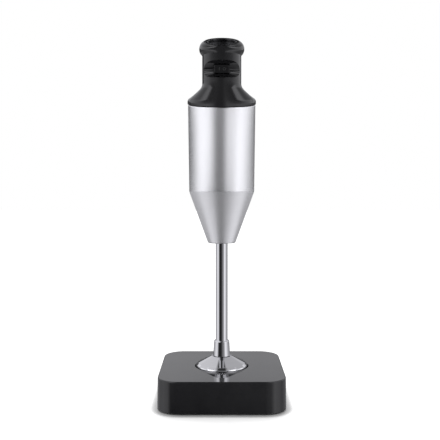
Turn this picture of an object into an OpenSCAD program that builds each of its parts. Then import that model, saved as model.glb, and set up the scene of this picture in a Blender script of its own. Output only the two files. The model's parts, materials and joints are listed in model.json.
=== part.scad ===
// Immersion blender standing in its weighted square stand.
// Millimetres. +Z is up, the front faces -Y, and the origin is on the blender's axis at the floor.

/* [Stand] */
// Side of the square stand
stand_w = 122; // [100:1:160]
// Height of the stand's top above the floor
stand_h = 30.5; // [26:0.5:45]
// Radius of the stand's vertical corners
stand_corner = 21; // [12:1:30]
// Wall of the stand's moulding
stand_wall = 2.6; // [2:0.1:4]
// Radius of each rubber foot
foot_r = 7; // [5:0.5:10]
// Height of the steel weight inside the stand
ballast_h = 10; // [6:0.5:14]

/* [Blending foot] */
// Outer radius of the bell's skirt
bell_r = 25.6; // [20:0.2:32]
// Sheet of the bell
bell_wall = 1.2; // [0.8:0.1:2]
// Height of the skirt that stands in the well
skirt_h = 23; // [16:0.5:26]
// Rise of the bell's sloping crown
crown_h = 10.4; // [7:0.2:16]
// Radius of the collar above the crown
collar_r = 8.9; // [8:0.1:11]
// Height of the collar
collar_h = 15.2; // [10:0.2:25]
// Number of arched openings in the skirt
arch_count = 4; // [3:1:6]
// Tip radius of the blade
blade_r = 20; // [14:0.5:21]

/* [Shaft] */
// Outer radius of the shaft tube
tube_r = 6; // [5:0.1:8]
// Wall of the shaft tube
tube_wall = 1; // [0.6:0.1:1.5]
// Radius of the drive shaft
shaft_r = 2; // [1.5:0.1:3]
// Height of the body's lower end above the bell's edge
shaft_len = 123.2; // [90:0.2:180]

/* [Body] */
// Radius of the cone's lower end
cone_low_r = 13.8; // [12.5:0.05:18]
// Height of the cone
cone_h = 50.8; // [40:0.2:70]
// Radius of the body at the crease above the cone
body_low_r = 32.15; // [31:0.05:38]
// Growth of the body's radius from the crease to the seam
body_flare = 1.05; // [0:0.05:3]
// Height from the crease to the seam, on the axis
body_h = 86.2; // [82:0.2:110]
// Sheet of the body
body_sheet = 1.5; // [1:0.1:2]

/* [Handle] */
// Slope of the seam under the handle, lower at the front
seam_tilt = 11.5; // [0:0.5:15]
// Step from the body's radius out to the handle's lip
lip_step = 0.5; // [0:0.1:1.5]
// Height of the lip's straight side
lip_h = 2.2; // [2:0.2:6]
// Radius of the round above the lip
lip_round = 4.2; // [3:0.2:5]
// Slope of the shoulder, in degrees from level
shoulder_slope = 34; // [25:1:45]
// Radius of the neck
neck_r = 18.8; // [18:0.1:22]
// Radius of the hollow between shoulder and neck
neck_fillet = 6; // [3:0.5:9]
// Height from the shoulder to the head
neck_h = 26.3; // [26:0.1:40]
// Largest radius of the head
head_r = 21.8; // [21:0.1:26]
// Radius of the head's round
head_round = 9.5; // [5:0.1:11]
// Slope of the head's top, lower at the front
top_tilt = 23.5; // [10:0.5:25]
// Wall of the two handle shells
handle_wall = 2.2; // [1.6:0.1:3]

/* [Recess and button] */
// Height of the recess's middle above the seam
recess_z = 29; // [28:0.1:36]
// Depth of the recess at its middle
recess_depth = 7.4; // [5:0.2:8]
// Half of the recess's height at the handle's front line
recess_half = 8.1; // [7.6:0.1:9]
// Radius of the recess's floor, seen from above
recess_floor_r = 42; // [30:1:80]
// Width of the button
button_w = 14.3; // [10:0.1:16]
// Height of the button
button_h = 8.4; // [6:0.1:9]
// How far the button stands out of the recess's floor
button_proud = 1; // [0.5:0.1:1.5]
// Travel of the button
button_travel = 1.5; // [1:0.1:1.6]

/* [Dial] */
// Radius of the dial
dial_r = 12.9; // [8:0.1:13]
// How far the dial lies below the head's top
dial_sink = 2.2; // [1:0.1:2.6]
// Radius of the dial's spindle
spindle_r = 3; // [2:0.1:4]

/* [Motor] */
// Length of the stator and armature stacks
stack_h = 24; // [18:1:24]
// Outer radius of the stator
stator_r = 27.5; // [25:0.5:28.5]
// Outer radius of the armature
armature_r = 15; // [12:0.5:15]
// Radius of the motor shaft
motor_shaft_r = 3; // [2.5:0.1:3.5]

/* [Cord inlet] */
// Radius of the bore that takes the cord
cord_r = 3.5; // [2.5:0.1:4]

/* [Fits] */
// Radial gap round a turning shaft
running_gap = 0.03; // [0.01:0.01:0.1]
// Gap round a located, fixed part
fixed_gap = 0.1; // [0.05:0.05:0.3]
// Gap between parts that move past each other
free_gap = 0.3; // [0.2:0.05:0.6]
// Radial gap of the bell in the stand's well
well_gap = 0.8; // [0.5:0.1:2]

/* [Hidden] */
$fn = 96;

far = 200;
eps = 0.01;

// Levels along the axis
floor_gap = 1;
plate_t = 2.5;
well_floor_t = 2.2;
pad_t = 1.5;
rim_z = stand_h;
skirt_z = rim_z - skirt_h;
pad_z = skirt_z - free_gap - pad_t;
plate_top_z = floor_gap + plate_t;
crown_z = rim_z + crown_h;
tube_low_z = rim_z + 3;
cone_z = rim_z + shaft_len;
crease_z = cone_z + cone_h;
seam_z = crease_z + body_h;

// Stand
stand_draft = 0.5;
well_r = bell_r + well_gap;
well_wall = 2;
boss_r = 3.6;
boss_at = stand_w / 2 - stand_wall - boss_r - 2;
foot_at = stand_w / 2 - 16;
foot_sink = 0.6;
stand_screw_r = 1.5;
stand_pilot_r = stand_screw_r + 0.1;
stand_hole_r = stand_screw_r + 0.2;
ballast_r = boss_at - boss_r - 1;

// Foot
bell_hub_r = 8.6;
arch_w = 13;
arch_side_h = 5.5;
seal_h = 2.5;
hub_r = 5;
hub_h = 9;
hub_top = rim_z - 3;
blade_t = 1.5;
blade_w = 7;
blade_tip = 5;
blade_z = hub_top - hub_h;
shaft_low_z = blade_z - 6;

// Where the tube meets the body
flange_z = cone_z + 1.6;
flange_h = 16;
tube_top_z = flange_z + flange_h + 4;
coupling_h = 18;
coupling_z = tube_top_z + 4;
shaft_split_z = coupling_z + coupling_h / 2;
coupling_r = 7.5;
pin_r = 1;

// Motor stack, from the crease up
mount_t = 3;
bracket_t = 3.5;
lower_mount_z = crease_z + 4;
lower_bracket_z = lower_mount_z + mount_t;
bearing_z = lower_bracket_z - 2;
bearing_h = 6;
bearing_r = 9.5;
fan_z = lower_bracket_z + bracket_t + 2.5;
fan_h = 5.5;
fan_r = 19;
stator_z = fan_z + fan_h + 6;
coil_over = 5.3;
commutator_z = stator_z + stack_h + coil_over + 0.7;
commutator_h = 9;
commutator_r = 9;
upper_bracket_z = commutator_z + commutator_h + 2;
upper_mount_z = upper_bracket_z + bracket_t;
deck_z = upper_mount_z + 2.4;
deck_t = 2.5;
bolt_at = 23.5;
bolt_r = 1.6;
leg_r = 3.5;

// Handle
front_y = -(body_low_r + body_flare);
lip_r = -front_y + lip_step;
form_front_y = -lip_r + 0.5;
parting_y = form_front_y + neck_r - 0.4;
parting_gap = 0.15;
shoulder_h = lip_h + lip_round * sin(90 - shoulder_slope) + neck_fillet * sin(90 - shoulder_slope)
    + (lip_r - neck_r - (lip_round + neck_fillet) * (1 - cos(90 - shoulder_slope))) * tan(shoulder_slope);
head_z = seam_z + shoulder_h + neck_h;
head_fillet = 1;
head_max_r = max(head_r, neck_r + 1.5);
head_start = -acos(1 - (head_max_r - neck_r) / (head_round + head_fillet));
head_end = 60;
head_mid = (head_fillet + head_round) * sin(-head_start);
head_h = head_mid + head_round * sin(head_end);
head_top_r = head_max_r - head_round * (1 - cos(head_end));
top_y = form_front_y + head_max_r;
neck_y = form_front_y + neck_r;
in_r = neck_r - handle_wall;

// Recess and button
recess_floor_y = form_front_y + recess_depth;
recess_tube_r = (recess_half * recess_half + recess_depth * recess_depth) / (2 * recess_depth);
recess_mid_z = seam_z + recess_z;
button_z = recess_mid_z + 0.8;
flange_t = 1.5;
button_flange_w = button_w + 2.4;
button_flange_h = button_h + 2;
flange_y = recess_floor_y + handle_wall + free_gap;
stem_y = flange_y + flange_t;
switch_y = stem_y + button_travel + 4;
plunger_r = 1.2;
stem_r = 2;
board_y = switch_y + 6.5;
board_t = 1.6;

// Head
lid_t = 5.2;
ledge_t = 1.8;
rim_w = 0.8;
lid_r = head_top_r - rim_w;
lid_y = form_front_y + head_top_r;
ledge_r = lid_r - 2.4;
dial_t = 1.3;
dial_fit_r = min(dial_r, lid_r - 3.2);
liner_r = dial_fit_r + free_gap;
liner_t = 0.7;
pocket_depth = dial_sink + dial_t + free_gap;
pot_h = 5.6;
pot_r = min(8, in_r - 8.6);

// Handle screws
screw_r = 1.5;
screw_boss_r = 3.6;
screw_x = in_r - screw_boss_r - 2.3;
screw_head_r = 2.6;
screw_low_z = seam_z + shoulder_h + 0.7;
screw_high_z = head_z - 2.4;
lug_t = 3;

// ---------- Shared shapes ----------

// A ring or washer
module ring(outer, inner, h) {
    difference() {
        cylinder(r = outer, h = h);
        translate([0, 0, -1]) cylinder(r = inner, h = h + 2);
    }
}

// A cylinder along Y, from y0 to y1
module bar_y(r, y0, y1) {
    translate([0, y0, 0]) rotate([-90, 0, 0]) cylinder(r = r, h = y1 - y0);
}

// Copies at plus and minus x
module both_sides(x) {
    for (side = [-1, 1]) translate([side * x, 0, 0]) children();
}

// Four copies on a square
module four_corners(at) {
    for (x = [-at, at], y = [-at, at]) translate([x, y, 0]) children();
}

// Four copies on a cross
module four_ways(at) {
    for (turn = [0 : 90 : 270]) rotate(turn) translate([at, 0, 0]) children();
}

// A countersunk screw that points up, its head at z = 0
module screw_up(r, length) {
    cylinder(r1 = 2 * r, r2 = r, h = r);
    translate([0, 0, r]) cylinder(r = r, h = length - r);
}

// A rounded bar seen from the front, in the XZ plane, running back along Y
module rounded_bar(w, h, r, depth) {
    rotate([-90, 0, 0]) linear_extrude(depth) {
        square([w - 2 * r, h], center = true);
        square([w, h - 2 * r], center = true);
        for (x = [-1, 1], z = [-1, 1]) translate([x * (w / 2 - r), z * (h / 2 - r)]) circle(r, $fn = 32);
    }
}

// A round wire wound as a helix along Z
module coil(radius, wire, length, turns) {
    per_turn = 12;
    sides = 6;
    steps = turns * per_turn;
    points = [
        for (i = [0 : steps], j = [0 : sides - 1])
            let (
                turn = 360 * i / per_turn,
                side = 360 * j / sides,
                reach = radius + wire * cos(side),
                up = wire + (length - 2 * wire) * i / steps + wire * sin(side)
            )
            [reach * cos(turn), reach * sin(turn), up]
    ];
    walls = [
        for (i = [0 : steps - 1], j = [0 : sides - 1])
            let (k = (j + 1) % sides)
            [i * sides + j, (i + 1) * sides + j, (i + 1) * sides + k, i * sides + k]
    ];
    start = [for (j = [0 : sides - 1]) j];
    end = [for (j = [sides - 1 : -1 : 0]) steps * sides + j];
    polyhedron(points, concat([start], walls, [end]), convexity = 6);
}

// ---------- Stand ----------

module stand_block(inset, top_z, bottom_z) {
    r = stand_corner - inset;
    hull() four_corners(stand_w / 2 - stand_corner) translate([0, 0, bottom_z])
        cylinder(r1 = r, r2 = r - stand_draft, h = top_z - bottom_z, $fn = 64);
}

module stand_shell() {
    color("#242426") difference() {
        union() {
            difference() {
                stand_block(0, stand_h, floor_gap);
                stand_block(stand_wall, stand_h - stand_wall, floor_gap - 1);
            }
            translate([0, 0, plate_top_z]) cylinder(r = well_r + well_wall, h = stand_h - plate_top_z - 1);
            four_ways(boss_at) translate([0, 0, plate_top_z])
                cylinder(r = boss_r, h = stand_h - plate_top_z - 1, $fn = 32);
        }
        translate([0, 0, plate_top_z + well_floor_t]) cylinder(r = well_r, h = stand_h);
        four_ways(boss_at) translate([0, 0, plate_top_z - 1]) cylinder(r = stand_pilot_r, h = 14, $fn = 32);
    }
}

module stand_bottom_plate() {
    color("#1c1c1e") difference() {
        stand_block(stand_wall + fixed_gap, plate_top_z, floor_gap);
        four_corners(foot_at) translate([0, 0, floor_gap - 1])
            cylinder(r = foot_r + fixed_gap, h = 1 + foot_sink, $fn = 48);
        four_ways(boss_at) translate([0, 0, floor_gap - eps]) {
            cylinder(r1 = 2 * stand_hole_r, r2 = stand_hole_r, h = stand_hole_r, $fn = 32);
            cylinder(r = stand_hole_r, h = plate_t + 1, $fn = 32);
        }
    }
}

module stand_ballast() {
    color("#6d6f73") translate([0, 0, plate_top_z])
        ring(ballast_r, well_r + well_wall + fixed_gap, ballast_h);
}

module stand_feet() {
    color("#151515") four_corners(foot_at) cylinder(r = foot_r, h = floor_gap + foot_sink, $fn = 48);
}

module stand_screws() {
    color("#9a9ca0") four_ways(boss_at) translate([0, 0, floor_gap]) screw_up(stand_screw_r, 12, $fn = 32);
}

module well_pad() {
    color("#151515") translate([0, 0, pad_z]) ring(well_r - fixed_gap, bell_r - 6, pad_t);
}

// ---------- Blending foot ----------

// Half-section of the bell, moved inwards by one sheet for its inner face
module bell_profile(inset) {
    r = bell_r - inset;
    polygon([
        [0, skirt_z - (inset > 0 ? 1 : 0)],
        [r, skirt_z - (inset > 0 ? 1 : 0)],
        [r, rim_z - 0.6 - inset / 2],
        [r - 0.6, rim_z - inset / 2],
        [bell_hub_r - inset / 2, crown_z - inset],
        [0, crown_z - inset]
    ]);
}

module bell_guard() {
    color("#c3c4c8") difference() {
        union() {
            rotate_extrude() difference() {
                bell_profile(0);
                bell_profile(bell_wall);
            }
            translate([0, 0, rim_z + 0.5]) cylinder(r = bell_hub_r - 0.8, h = crown_h - 0.5);
        }
        translate([0, 0, tube_low_z - seal_h]) cylinder(r = tube_r + running_gap, h = crown_h + 5);
        translate([0, 0, rim_z - 5]) cylinder(r = tube_r - 1.5, h = 10);
        for (i = [0 : arch_count - 1]) rotate(45 + 360 * i / arch_count) {
            translate([0, -arch_w / 2, skirt_z - 1]) cube([bell_r + 2, arch_w, arch_side_h + 1]);
            translate([0, 0, skirt_z + arch_side_h]) rotate([0, 90, 0])
                cylinder(r = arch_w / 2, h = bell_r + 2, $fn = 48);
        }
    }
}

module tube_collar() {
    top_r = tube_r + 1.65;
    color("#b9babe") translate([0, 0, crown_z]) difference() {
        rotate_extrude() {
            polygon([
                [0, 0], [collar_r - 1.2, 0], [collar_r - 0.35, 0.35], [collar_r, 1.2],
                [top_r, collar_h - 0.7], [top_r - 0.7, collar_h], [0, collar_h]
            ]);
        }
        translate([0, 0, -1]) cylinder(r = tube_r + running_gap, h = collar_h + 2);
    }
}

module shaft_tube() {
    color("#d8d9dc") translate([0, 0, tube_low_z]) ring(tube_r, tube_r - tube_wall, tube_top_z - tube_low_z);
}

// A plain bush inside the tube
module tube_bush(h) {
    ring(tube_r - tube_wall - running_gap, shaft_r + running_gap, h);
}

module lower_bush() {
    color("#a8834f") translate([0, 0, tube_low_z]) tube_bush(13);
}

module upper_bush() {
    color("#a8834f") translate([0, 0, tube_top_z - 12]) tube_bush(11);
}

module shaft_seal() {
    color("#202022") translate([0, 0, tube_low_z - seal_h])
        ring(tube_r - running_gap, shaft_r + running_gap, seal_h - fixed_gap);
}

module drive_shaft() {
    color("#b4b6ba") difference() {
        translate([0, 0, shaft_low_z]) cylinder(r = shaft_r, h = shaft_split_z - 0.2 - shaft_low_z);
        translate([0, 0, coupling_z + 4]) rotate([0, 90, 0])
            cylinder(r = pin_r + running_gap, h = 20, center = true, $fn = 24);
    }
}

module blade_hub() {
    color("#8f9196") translate([0, 0, blade_z]) difference() {
        rotate_extrude() polygon([[0, 0], [hub_r, 0], [hub_r, hub_h - 3], [hub_r - 1.6, hub_h], [0, hub_h]]);
        translate([0, 0, -1]) cylinder(r = shaft_r + running_gap, h = hub_h + 2);
    }
}

// One wing, flat for most of its length and bent at its sharpened tip
module blade_wing(bend) {
    flat = blade_r - blade_tip;
    linear_extrude(blade_t) polygon([
        [hub_r - 2, -blade_w / 2], [flat, -blade_w / 2 + 0.6], [flat, blade_w / 2 - 0.6], [hub_r - 2, blade_w / 2]
    ]);
    translate([flat - 0.1, 0, 0]) rotate([0, -bend, 0]) linear_extrude(blade_t) polygon([
        [0, -blade_w / 2 + 0.6], [blade_tip, -0.6], [blade_tip, 1.6], [0, blade_w / 2 - 0.6]
    ]);
}

module blade() {
    color("#cfd0d3") translate([0, 0, blade_z - blade_t]) difference() {
        union() {
            cylinder(r = hub_r, h = blade_t);
            for (i = [0 : 3]) rotate(90 * i) blade_wing(i % 2 == 0 ? 30 : -25);
        }
        translate([0, 0, -5]) cylinder(r = shaft_r + running_gap, h = 10);
    }
}

module blade_nut() {
    nut_low_z = shaft_low_z + 0.6;
    washer_t = 1;
    nut_h = blade_z - blade_t - washer_t - nut_low_z;
    color("#a2a4a8") translate([0, 0, nut_low_z]) difference() {
        union() {
            cylinder(r = hub_r - 0.6, h = nut_h, $fn = 6);
            translate([0, 0, nut_h]) cylinder(r = hub_r - 0.4, h = washer_t);
        }
        translate([0, 0, -1]) cylinder(r = shaft_r + running_gap, h = 10);
    }
}

// ---------- Where the tube meets the body ----------

// Radius of the cone's outside at a height above its lower end
function cone_r(up) = cone_low_r + (body_low_r - cone_low_r) * up / cone_h;
sheet_across = body_sheet / cos(atan((body_low_r - cone_low_r) / cone_h));

module tube_flange() {
    color("#77797d") difference() {
        rotate_extrude() polygon([
            [0, flange_z],
            [cone_r(flange_z - cone_z) - sheet_across - fixed_gap, flange_z],
            [cone_r(flange_z - cone_z + 5) - sheet_across - fixed_gap, flange_z + 5],
            [9.5, flange_z + 5.5],
            [9.5, flange_z + flange_h],
            [0, flange_z + flange_h]
        ]);
        translate([0, 0, flange_z - 1]) cylinder(r = tube_r + running_gap, h = flange_h + 2);
    }
}

module tube_nut() {
    color("#a2a4a8") translate([0, 0, flange_z + flange_h]) difference() {
        cylinder(r = 9.5, h = 3.5, $fn = 6);
        translate([0, 0, -1]) cylinder(r = tube_r + running_gap, h = 6);
    }
}

module shaft_coupling() {
    color("#8b8d92") difference() {
        translate([0, 0, coupling_z]) cylinder(r = coupling_r, h = coupling_h);
        translate([0, 0, coupling_z - 1]) cylinder(r = shaft_r + running_gap, h = coupling_h / 2 + 1);
        translate([0, 0, shaft_split_z]) cylinder(r = motor_shaft_r + running_gap, h = coupling_h);
        for (z = [4, coupling_h - 4]) translate([0, 0, coupling_z + z]) rotate([0, 90, 0])
            cylinder(r = pin_r + running_gap, h = 20, center = true, $fn = 24);
    }
}

module coupling_pins() {
    color("#c0c2c6") for (z = [4, coupling_h - 4]) translate([0, 0, coupling_z + z]) rotate([0, 90, 0])
        cylinder(r = pin_r, h = 2 * coupling_r - 1, center = true, $fn = 24);
}

// ---------- Body ----------

module body_cone() {
    color("#c4c5c9") difference() {
        rotate_extrude() difference() {
            polygon([
                [0, cone_z], [cone_low_r - 0.8, cone_z], [cone_low_r, cone_z + 0.8],
                [body_low_r, crease_z], [0, crease_z]
            ]);
            polygon([
                [0, flange_z], [cone_r(flange_z - cone_z) - sheet_across, flange_z],
                [body_low_r - sheet_across, crease_z + eps], [0, crease_z + eps]
            ]);
        }
        translate([0, 0, cone_z - 1]) cylinder(r = tube_r + fixed_gap, h = 5);
    }
}

// The ring that bridges cone and sleeve from inside
module body_ring() {
    low = 6;
    inner_r = stator_r - 1.35;
    color("#8b8d92") rotate_extrude() polygon([
        [inner_r, crease_z - low],
        [cone_r(cone_h - low) - sheet_across - fixed_gap, crease_z - low],
        [body_low_r - sheet_across - fixed_gap, crease_z],
        [body_low_r - body_sheet - fixed_gap, lower_mount_z],
        [inner_r, lower_mount_z]
    ]);
}

// Everything below the slanting seam, moved up by d
module below_seam(d) {
    translate([0, 0, seam_z + d]) rotate([seam_tilt, 0, 0]) translate([-far / 2, -far / 2, -far])
        cube([far, far, far]);
}

// The tapered inside or outside of the sleeve, from z0 to z1
module sleeve_form(inset, z0, z1) {
    r0 = body_low_r + body_flare * (z0 - crease_z) / body_h - inset;
    r1 = body_low_r + body_flare * (z1 - crease_z) / body_h - inset;
    translate([0, 0, z0]) cylinder(r1 = r0, r2 = r1, h = z1 - z0);
}

gasket_t = 0.5;

module body_sleeve() {
    top = seam_z + 12;
    color("#dcdde0") intersection() {
        difference() {
            sleeve_form(0, crease_z, top);
            sleeve_form(body_sheet, crease_z - 1, top + 1);
        }
        below_seam(-gasket_t);
    }
}

module seam_gasket() {
    color("#161617") difference() {
        intersection() {
            translate([0, 0, seam_z - 20]) ring(-front_y - 0.5, -front_y - body_sheet + fixed_gap, 40);
            below_seam(0);
        }
        below_seam(-gasket_t);
    }
}

// ---------- Motor ----------

module lower_mount() {
    color("#202022") translate([0, 0, lower_mount_z]) ring(stator_r + 2, bolt_at - 1.35, mount_t);
}

module bolt_holes(z, h) {
    for (y = [-bolt_at, bolt_at]) translate([0, y, z]) cylinder(r = bolt_r + running_gap, h = h, $fn = 32);
}

module lower_bracket() {
    color("#9fa1a6") difference() {
        union() {
            translate([0, 0, lower_bracket_z]) cylinder(r = stator_r + 2, h = bracket_t);
            translate([0, 0, bearing_z - 1.5]) cylinder(r = bearing_r + 3, h = bearing_h + 1.5);
            for (y = [-bolt_at, bolt_at]) translate([0, y, lower_bracket_z])
                cylinder(r = leg_r, h = stator_z - lower_bracket_z, $fn = 32);
        }
        translate([0, 0, bearing_z]) cylinder(r = bearing_r + running_gap, h = bearing_h + 5);
        translate([0, 0, bearing_z - 5]) cylinder(r = bearing_r - 2, h = 10);
        bolt_holes(lower_bracket_z - 1, stator_z);
        for (turn = [0 : 60 : 300]) rotate(turn + 30) translate([18.5, 0, lower_bracket_z - 1])
            cylinder(r = 4, h = bracket_t + 2, $fn = 32);
    }
}

ball_r = 1.6;
ball_at = 6.25;

module bearing_outer_race() {
    color("#b4b6ba") translate([0, 0, bearing_z]) ring(bearing_r, ball_at + ball_r + 0.05, bearing_h);
}

module bearing_balls() {
    color("#d5d6d9") for (i = [0 : 6]) rotate(360 * i / 7) translate([ball_at, 0, bearing_z + bearing_h / 2])
        sphere(r = ball_r, $fn = 24);
}

module bearing_inner_race() {
    color("#b4b6ba") translate([0, 0, bearing_z])
        ring(ball_at - ball_r - 0.05, motor_shaft_r + running_gap, bearing_h);
}

shoe_t = 3.5;
yoke_t = 5.5;
pole_w = 14;

module stator_core() {
    bore = armature_r + 0.5;
    color("#5c5e63") translate([0, 0, stator_z]) linear_extrude(stack_h) difference() {
        circle(stator_r);
        difference() {
            circle(stator_r - yoke_t);
            square([2 * stator_r, pole_w], center = true);
            intersection() {
                circle(bore + shoe_t);
                union() {
                    for (side = [0, 180]) rotate(side) polygon([
                        [0, 0], [40, 40 * tan(55)], [40, -40 * tan(55)]
                    ]);
                }
            }
        }
        circle(bore);
        for (y = [-bolt_at, bolt_at]) translate([0, y]) circle(bolt_r + running_gap, $fn = 32);
    }
}

// A saddle coil: two arcs over the ends of the pole and two bars beside it
module saddle_coil() {
    bar_in = armature_r + 0.5 + shoe_t + 0.3;
    bar_out = stator_r - yoke_t - 0.3;
    over = coil_over - 0.2;
    half_span = 52;
    bar_span = 25;
    for (z = [stator_z - over, stator_z + stack_h + 0.2]) translate([0, 0, z]) rotate(-half_span)
        rotate_extrude(angle = 2 * half_span) translate([armature_r + 1, 0]) square([8, over - 0.2]);
    for (side = [-half_span, half_span - bar_span]) rotate(side) translate([0, 0, stator_z - 1])
        rotate_extrude(angle = bar_span) translate([bar_in, 0]) square([bar_out - bar_in, stack_h + 2]);
}

module field_coils() {
    color("#8a4a20") for (side = [0, 180]) rotate(side) saddle_coil();
}

module upper_bracket() {
    color("#9fa1a6") difference() {
        union() {
            translate([0, 0, upper_bracket_z]) intersection() {
                cylinder(r = stator_r + 0.5, h = bracket_t);
                union() {
                    translate([-8, -40, 0]) cube([16, 80, bracket_t]);
                    translate([-40, -8, 0]) cube([80, 16, bracket_t]);
                    cylinder(r = 15, h = bracket_t);
                    difference() {
                        cylinder(r = stator_r + 0.5, h = bracket_t);
                        cylinder(r = stator_r - 4, h = bracket_t);
                    }
                }
            }
            translate([0, 0, upper_bracket_z]) cylinder(r = 9, h = bracket_t + 2);
            for (y = [-bolt_at, bolt_at]) translate([0, y, stator_z + stack_h])
                cylinder(r = leg_r, h = upper_bracket_z - stator_z - stack_h + 1, $fn = 32);
        }
        translate([0, 0, upper_bracket_z - 1]) cylinder(r = 6 + running_gap, h = bracket_t + 5);
        bolt_holes(stator_z, 60);
    }
}

module upper_bush_motor() {
    color("#a8834f") translate([0, 0, upper_bracket_z])
        ring(6, motor_shaft_r + running_gap, bracket_t + 2);
}

brush_z = commutator_z + 4;
brush_w = 5;
holder_in = commutator_r + 1;
holder_out = holder_in + 16;

module brush_holders() {
    color("#c9a227") for (side = [0, 180]) rotate(side) difference() {
        translate([holder_in, -4.5, commutator_z]) cube([holder_out - holder_in, 9, upper_bracket_z - commutator_z]);
        translate([holder_in - 1, -brush_w / 2 - fixed_gap, brush_z - brush_w / 2 - fixed_gap])
            cube([holder_out - holder_in - 1, brush_w + 2 * fixed_gap, brush_w + 2 * fixed_gap]);
    }
}

module carbon_brushes() {
    color("#2b2b2d") for (side = [0, 180]) rotate(side) difference() {
        translate([commutator_r - 2, -brush_w / 2, brush_z - brush_w / 2]) cube([10, brush_w, brush_w]);
        translate([0, 0, commutator_z - 1]) cylinder(r = commutator_r + 0.05, h = commutator_h + 2);
    }
}

module brush_springs() {
    brush_end = commutator_r + 8;
    color("#b4b6ba") for (side = [0, 180]) rotate(side) translate([brush_end, 0, brush_z]) rotate([0, 90, 0])
        coil(1.8, 0.25, holder_out - 2 - brush_end, 5);
}

module through_bolts() {
    color("#9a9ca0") for (y = [-bolt_at, bolt_at]) translate([0, y, 0]) {
        translate([0, 0, lower_bracket_z + 0.5])
            cylinder(r = bolt_r, h = deck_z + deck_t - lower_bracket_z - 0.5, $fn = 32);
        translate([0, 0, deck_z + deck_t]) cylinder(r = 3, h = 2, $fn = 32);
    }
}

module upper_mount() {
    color("#202022") difference() {
        translate([0, 0, upper_mount_z]) ring(stator_r, 19, deck_z - upper_mount_z);
        bolt_holes(upper_mount_z - 1, 10);
    }
}

module motor_shaft() {
    color("#b4b6ba") difference() {
        translate([0, 0, shaft_split_z + 0.2])
            cylinder(r = motor_shaft_r, h = upper_bracket_z + bracket_t + 4 - shaft_split_z - 0.2);
        translate([0, 0, coupling_z + coupling_h - 4]) rotate([0, 90, 0])
            cylinder(r = pin_r + running_gap, h = 20, center = true, $fn = 24);
    }
}

module armature_core() {
    color("#6a6c71") translate([0, 0, stator_z]) linear_extrude(stack_h) difference() {
        circle(armature_r);
        circle(motor_shaft_r + running_gap);
        for (i = [0 : 11]) rotate(30 * i) translate([armature_r - 5.5, -0.9]) square([6, 1.8]);
    }
}

module armature_windings() {
    over = coil_over - 1;
    color("#a4602c") for (z = [stator_z - over, stator_z + stack_h]) translate([0, 0, z])
        rotate_extrude() difference() {
            translate([4, 0]) square([armature_r - 1.4 - 4, over]);
            translate([armature_r - 1.4, z < stator_z ? 0 : over]) circle(1.6, $fn = 32);
        }
}

module commutator() {
    color("#b87333") translate([0, 0, commutator_z]) linear_extrude(commutator_h) difference() {
        circle(commutator_r);
        circle(motor_shaft_r + running_gap);
        for (i = [0 : 11]) rotate(15 + 30 * i) translate([commutator_r - 1.2, -0.25]) square([2, 0.5]);
    }
}

module cooling_fan() {
    color("#30343a") translate([0, 0, fan_z]) difference() {
        union() {
            cylinder(r = fan_r, h = 1.2);
            cylinder(r = 6.5, h = fan_h);
            for (i = [0 : 8]) rotate(40 * i) translate([5, 0, 0.6]) rotate(18)
                translate([0, -0.6, 0]) cube([12.5, 1.2, fan_h - 1.2]);
        }
        translate([0, 0, -1]) cylinder(r = motor_shaft_r + running_gap, h = fan_h + 2);
    }
}

// ---------- Handle form ----------

// Share of the seam's slope that a section keeps, from the lip to the neck
function shoulder_share(w) = (w - neck_r) / (lip_r - neck_r);

// Each section of the form is [radius, height, slope, y where that height is measured]
turn = 90 - shoulder_slope;
lip_sections = [
    for (a = [0 : turn / 4 : turn + eps])
        [lip_r - lip_round * (1 - cos(a)), seam_z + lip_h + lip_round * sin(a)]
];
fillet_sections = [
    for (a = [turn : -turn / 4 : -eps])
        [neck_r + neck_fillet * (1 - cos(a)), seam_z + shoulder_h - neck_fillet * sin(a)]
];
shoulder_sections = [
    for (s = concat([[lip_r, seam_z]], lip_sections, fillet_sections))
        [s[0], s[1], tan(seam_tilt) * shoulder_share(s[0]), 0]
];
hollow_sections = [
    for (a = [0 : -head_start / 2 : -head_start + eps])
        [neck_r + head_fillet * (1 - cos(a)), head_fillet * sin(a)]
];
round_sections = [
    for (a = [head_start : (head_end - head_start) / 6 : head_end + eps])
        [head_max_r - head_round * (1 - cos(a)), head_mid + head_round * sin(a)]
];
head_sections = [
    for (s = concat(hollow_sections, round_sections))
        [s[0], head_z + s[1], tan(top_tilt) * s[1] / head_h, top_y]
];

// A skin of circles that all touch the handle's front line
module handle_form() {
    sections = concat(shoulder_sections, head_sections);
    sides = 48;
    last = len(sections) - 1;
    points = [
        for (s = sections, i = [0 : sides - 1])
            let (
                a = 360 * i / sides,
                y = form_front_y + s[0] - s[0] * cos(a)
            )
            [s[0] * sin(a), y, s[1] + s[2] * (y - s[3])]
    ];
    skin = [
        for (k = [0 : last - 1], i = [0 : sides - 1])
            let (
                a = k * sides + i,
                b = k * sides + (i + 1) % sides
            )
            each [[a, a + sides, b], [b, a + sides, b + sides]]
    ];
    bottom = [for (i = [0 : sides - 1]) i];
    top = [for (i = [sides - 1 : -1 : 0]) last * sides + i];
    polyhedron(points, concat([bottom], skin, [top]), convexity = 6);
}

// Everything below the head's sloping top, moved up by d
top_z = head_z + head_h;
module below_top(d) {
    translate([0, top_y, top_z + d]) rotate([top_tilt, 0, 0]) translate([-far / 2, -far / 2, -far])
        cube([far, far, far]);
}

module above_top(d) {
    translate([0, top_y, top_z + d]) rotate([top_tilt, 0, 0]) translate([-far / 2, -far / 2, 0])
        cube([far, far, far]);
}

// The middle of the head's top, with Z along the dial's axis
module on_top() {
    translate([0, top_y, top_z]) rotate([top_tilt, 0, 0])
        translate([0, (lid_y - top_y) / cos(top_tilt), 0]) children();
}

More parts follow.
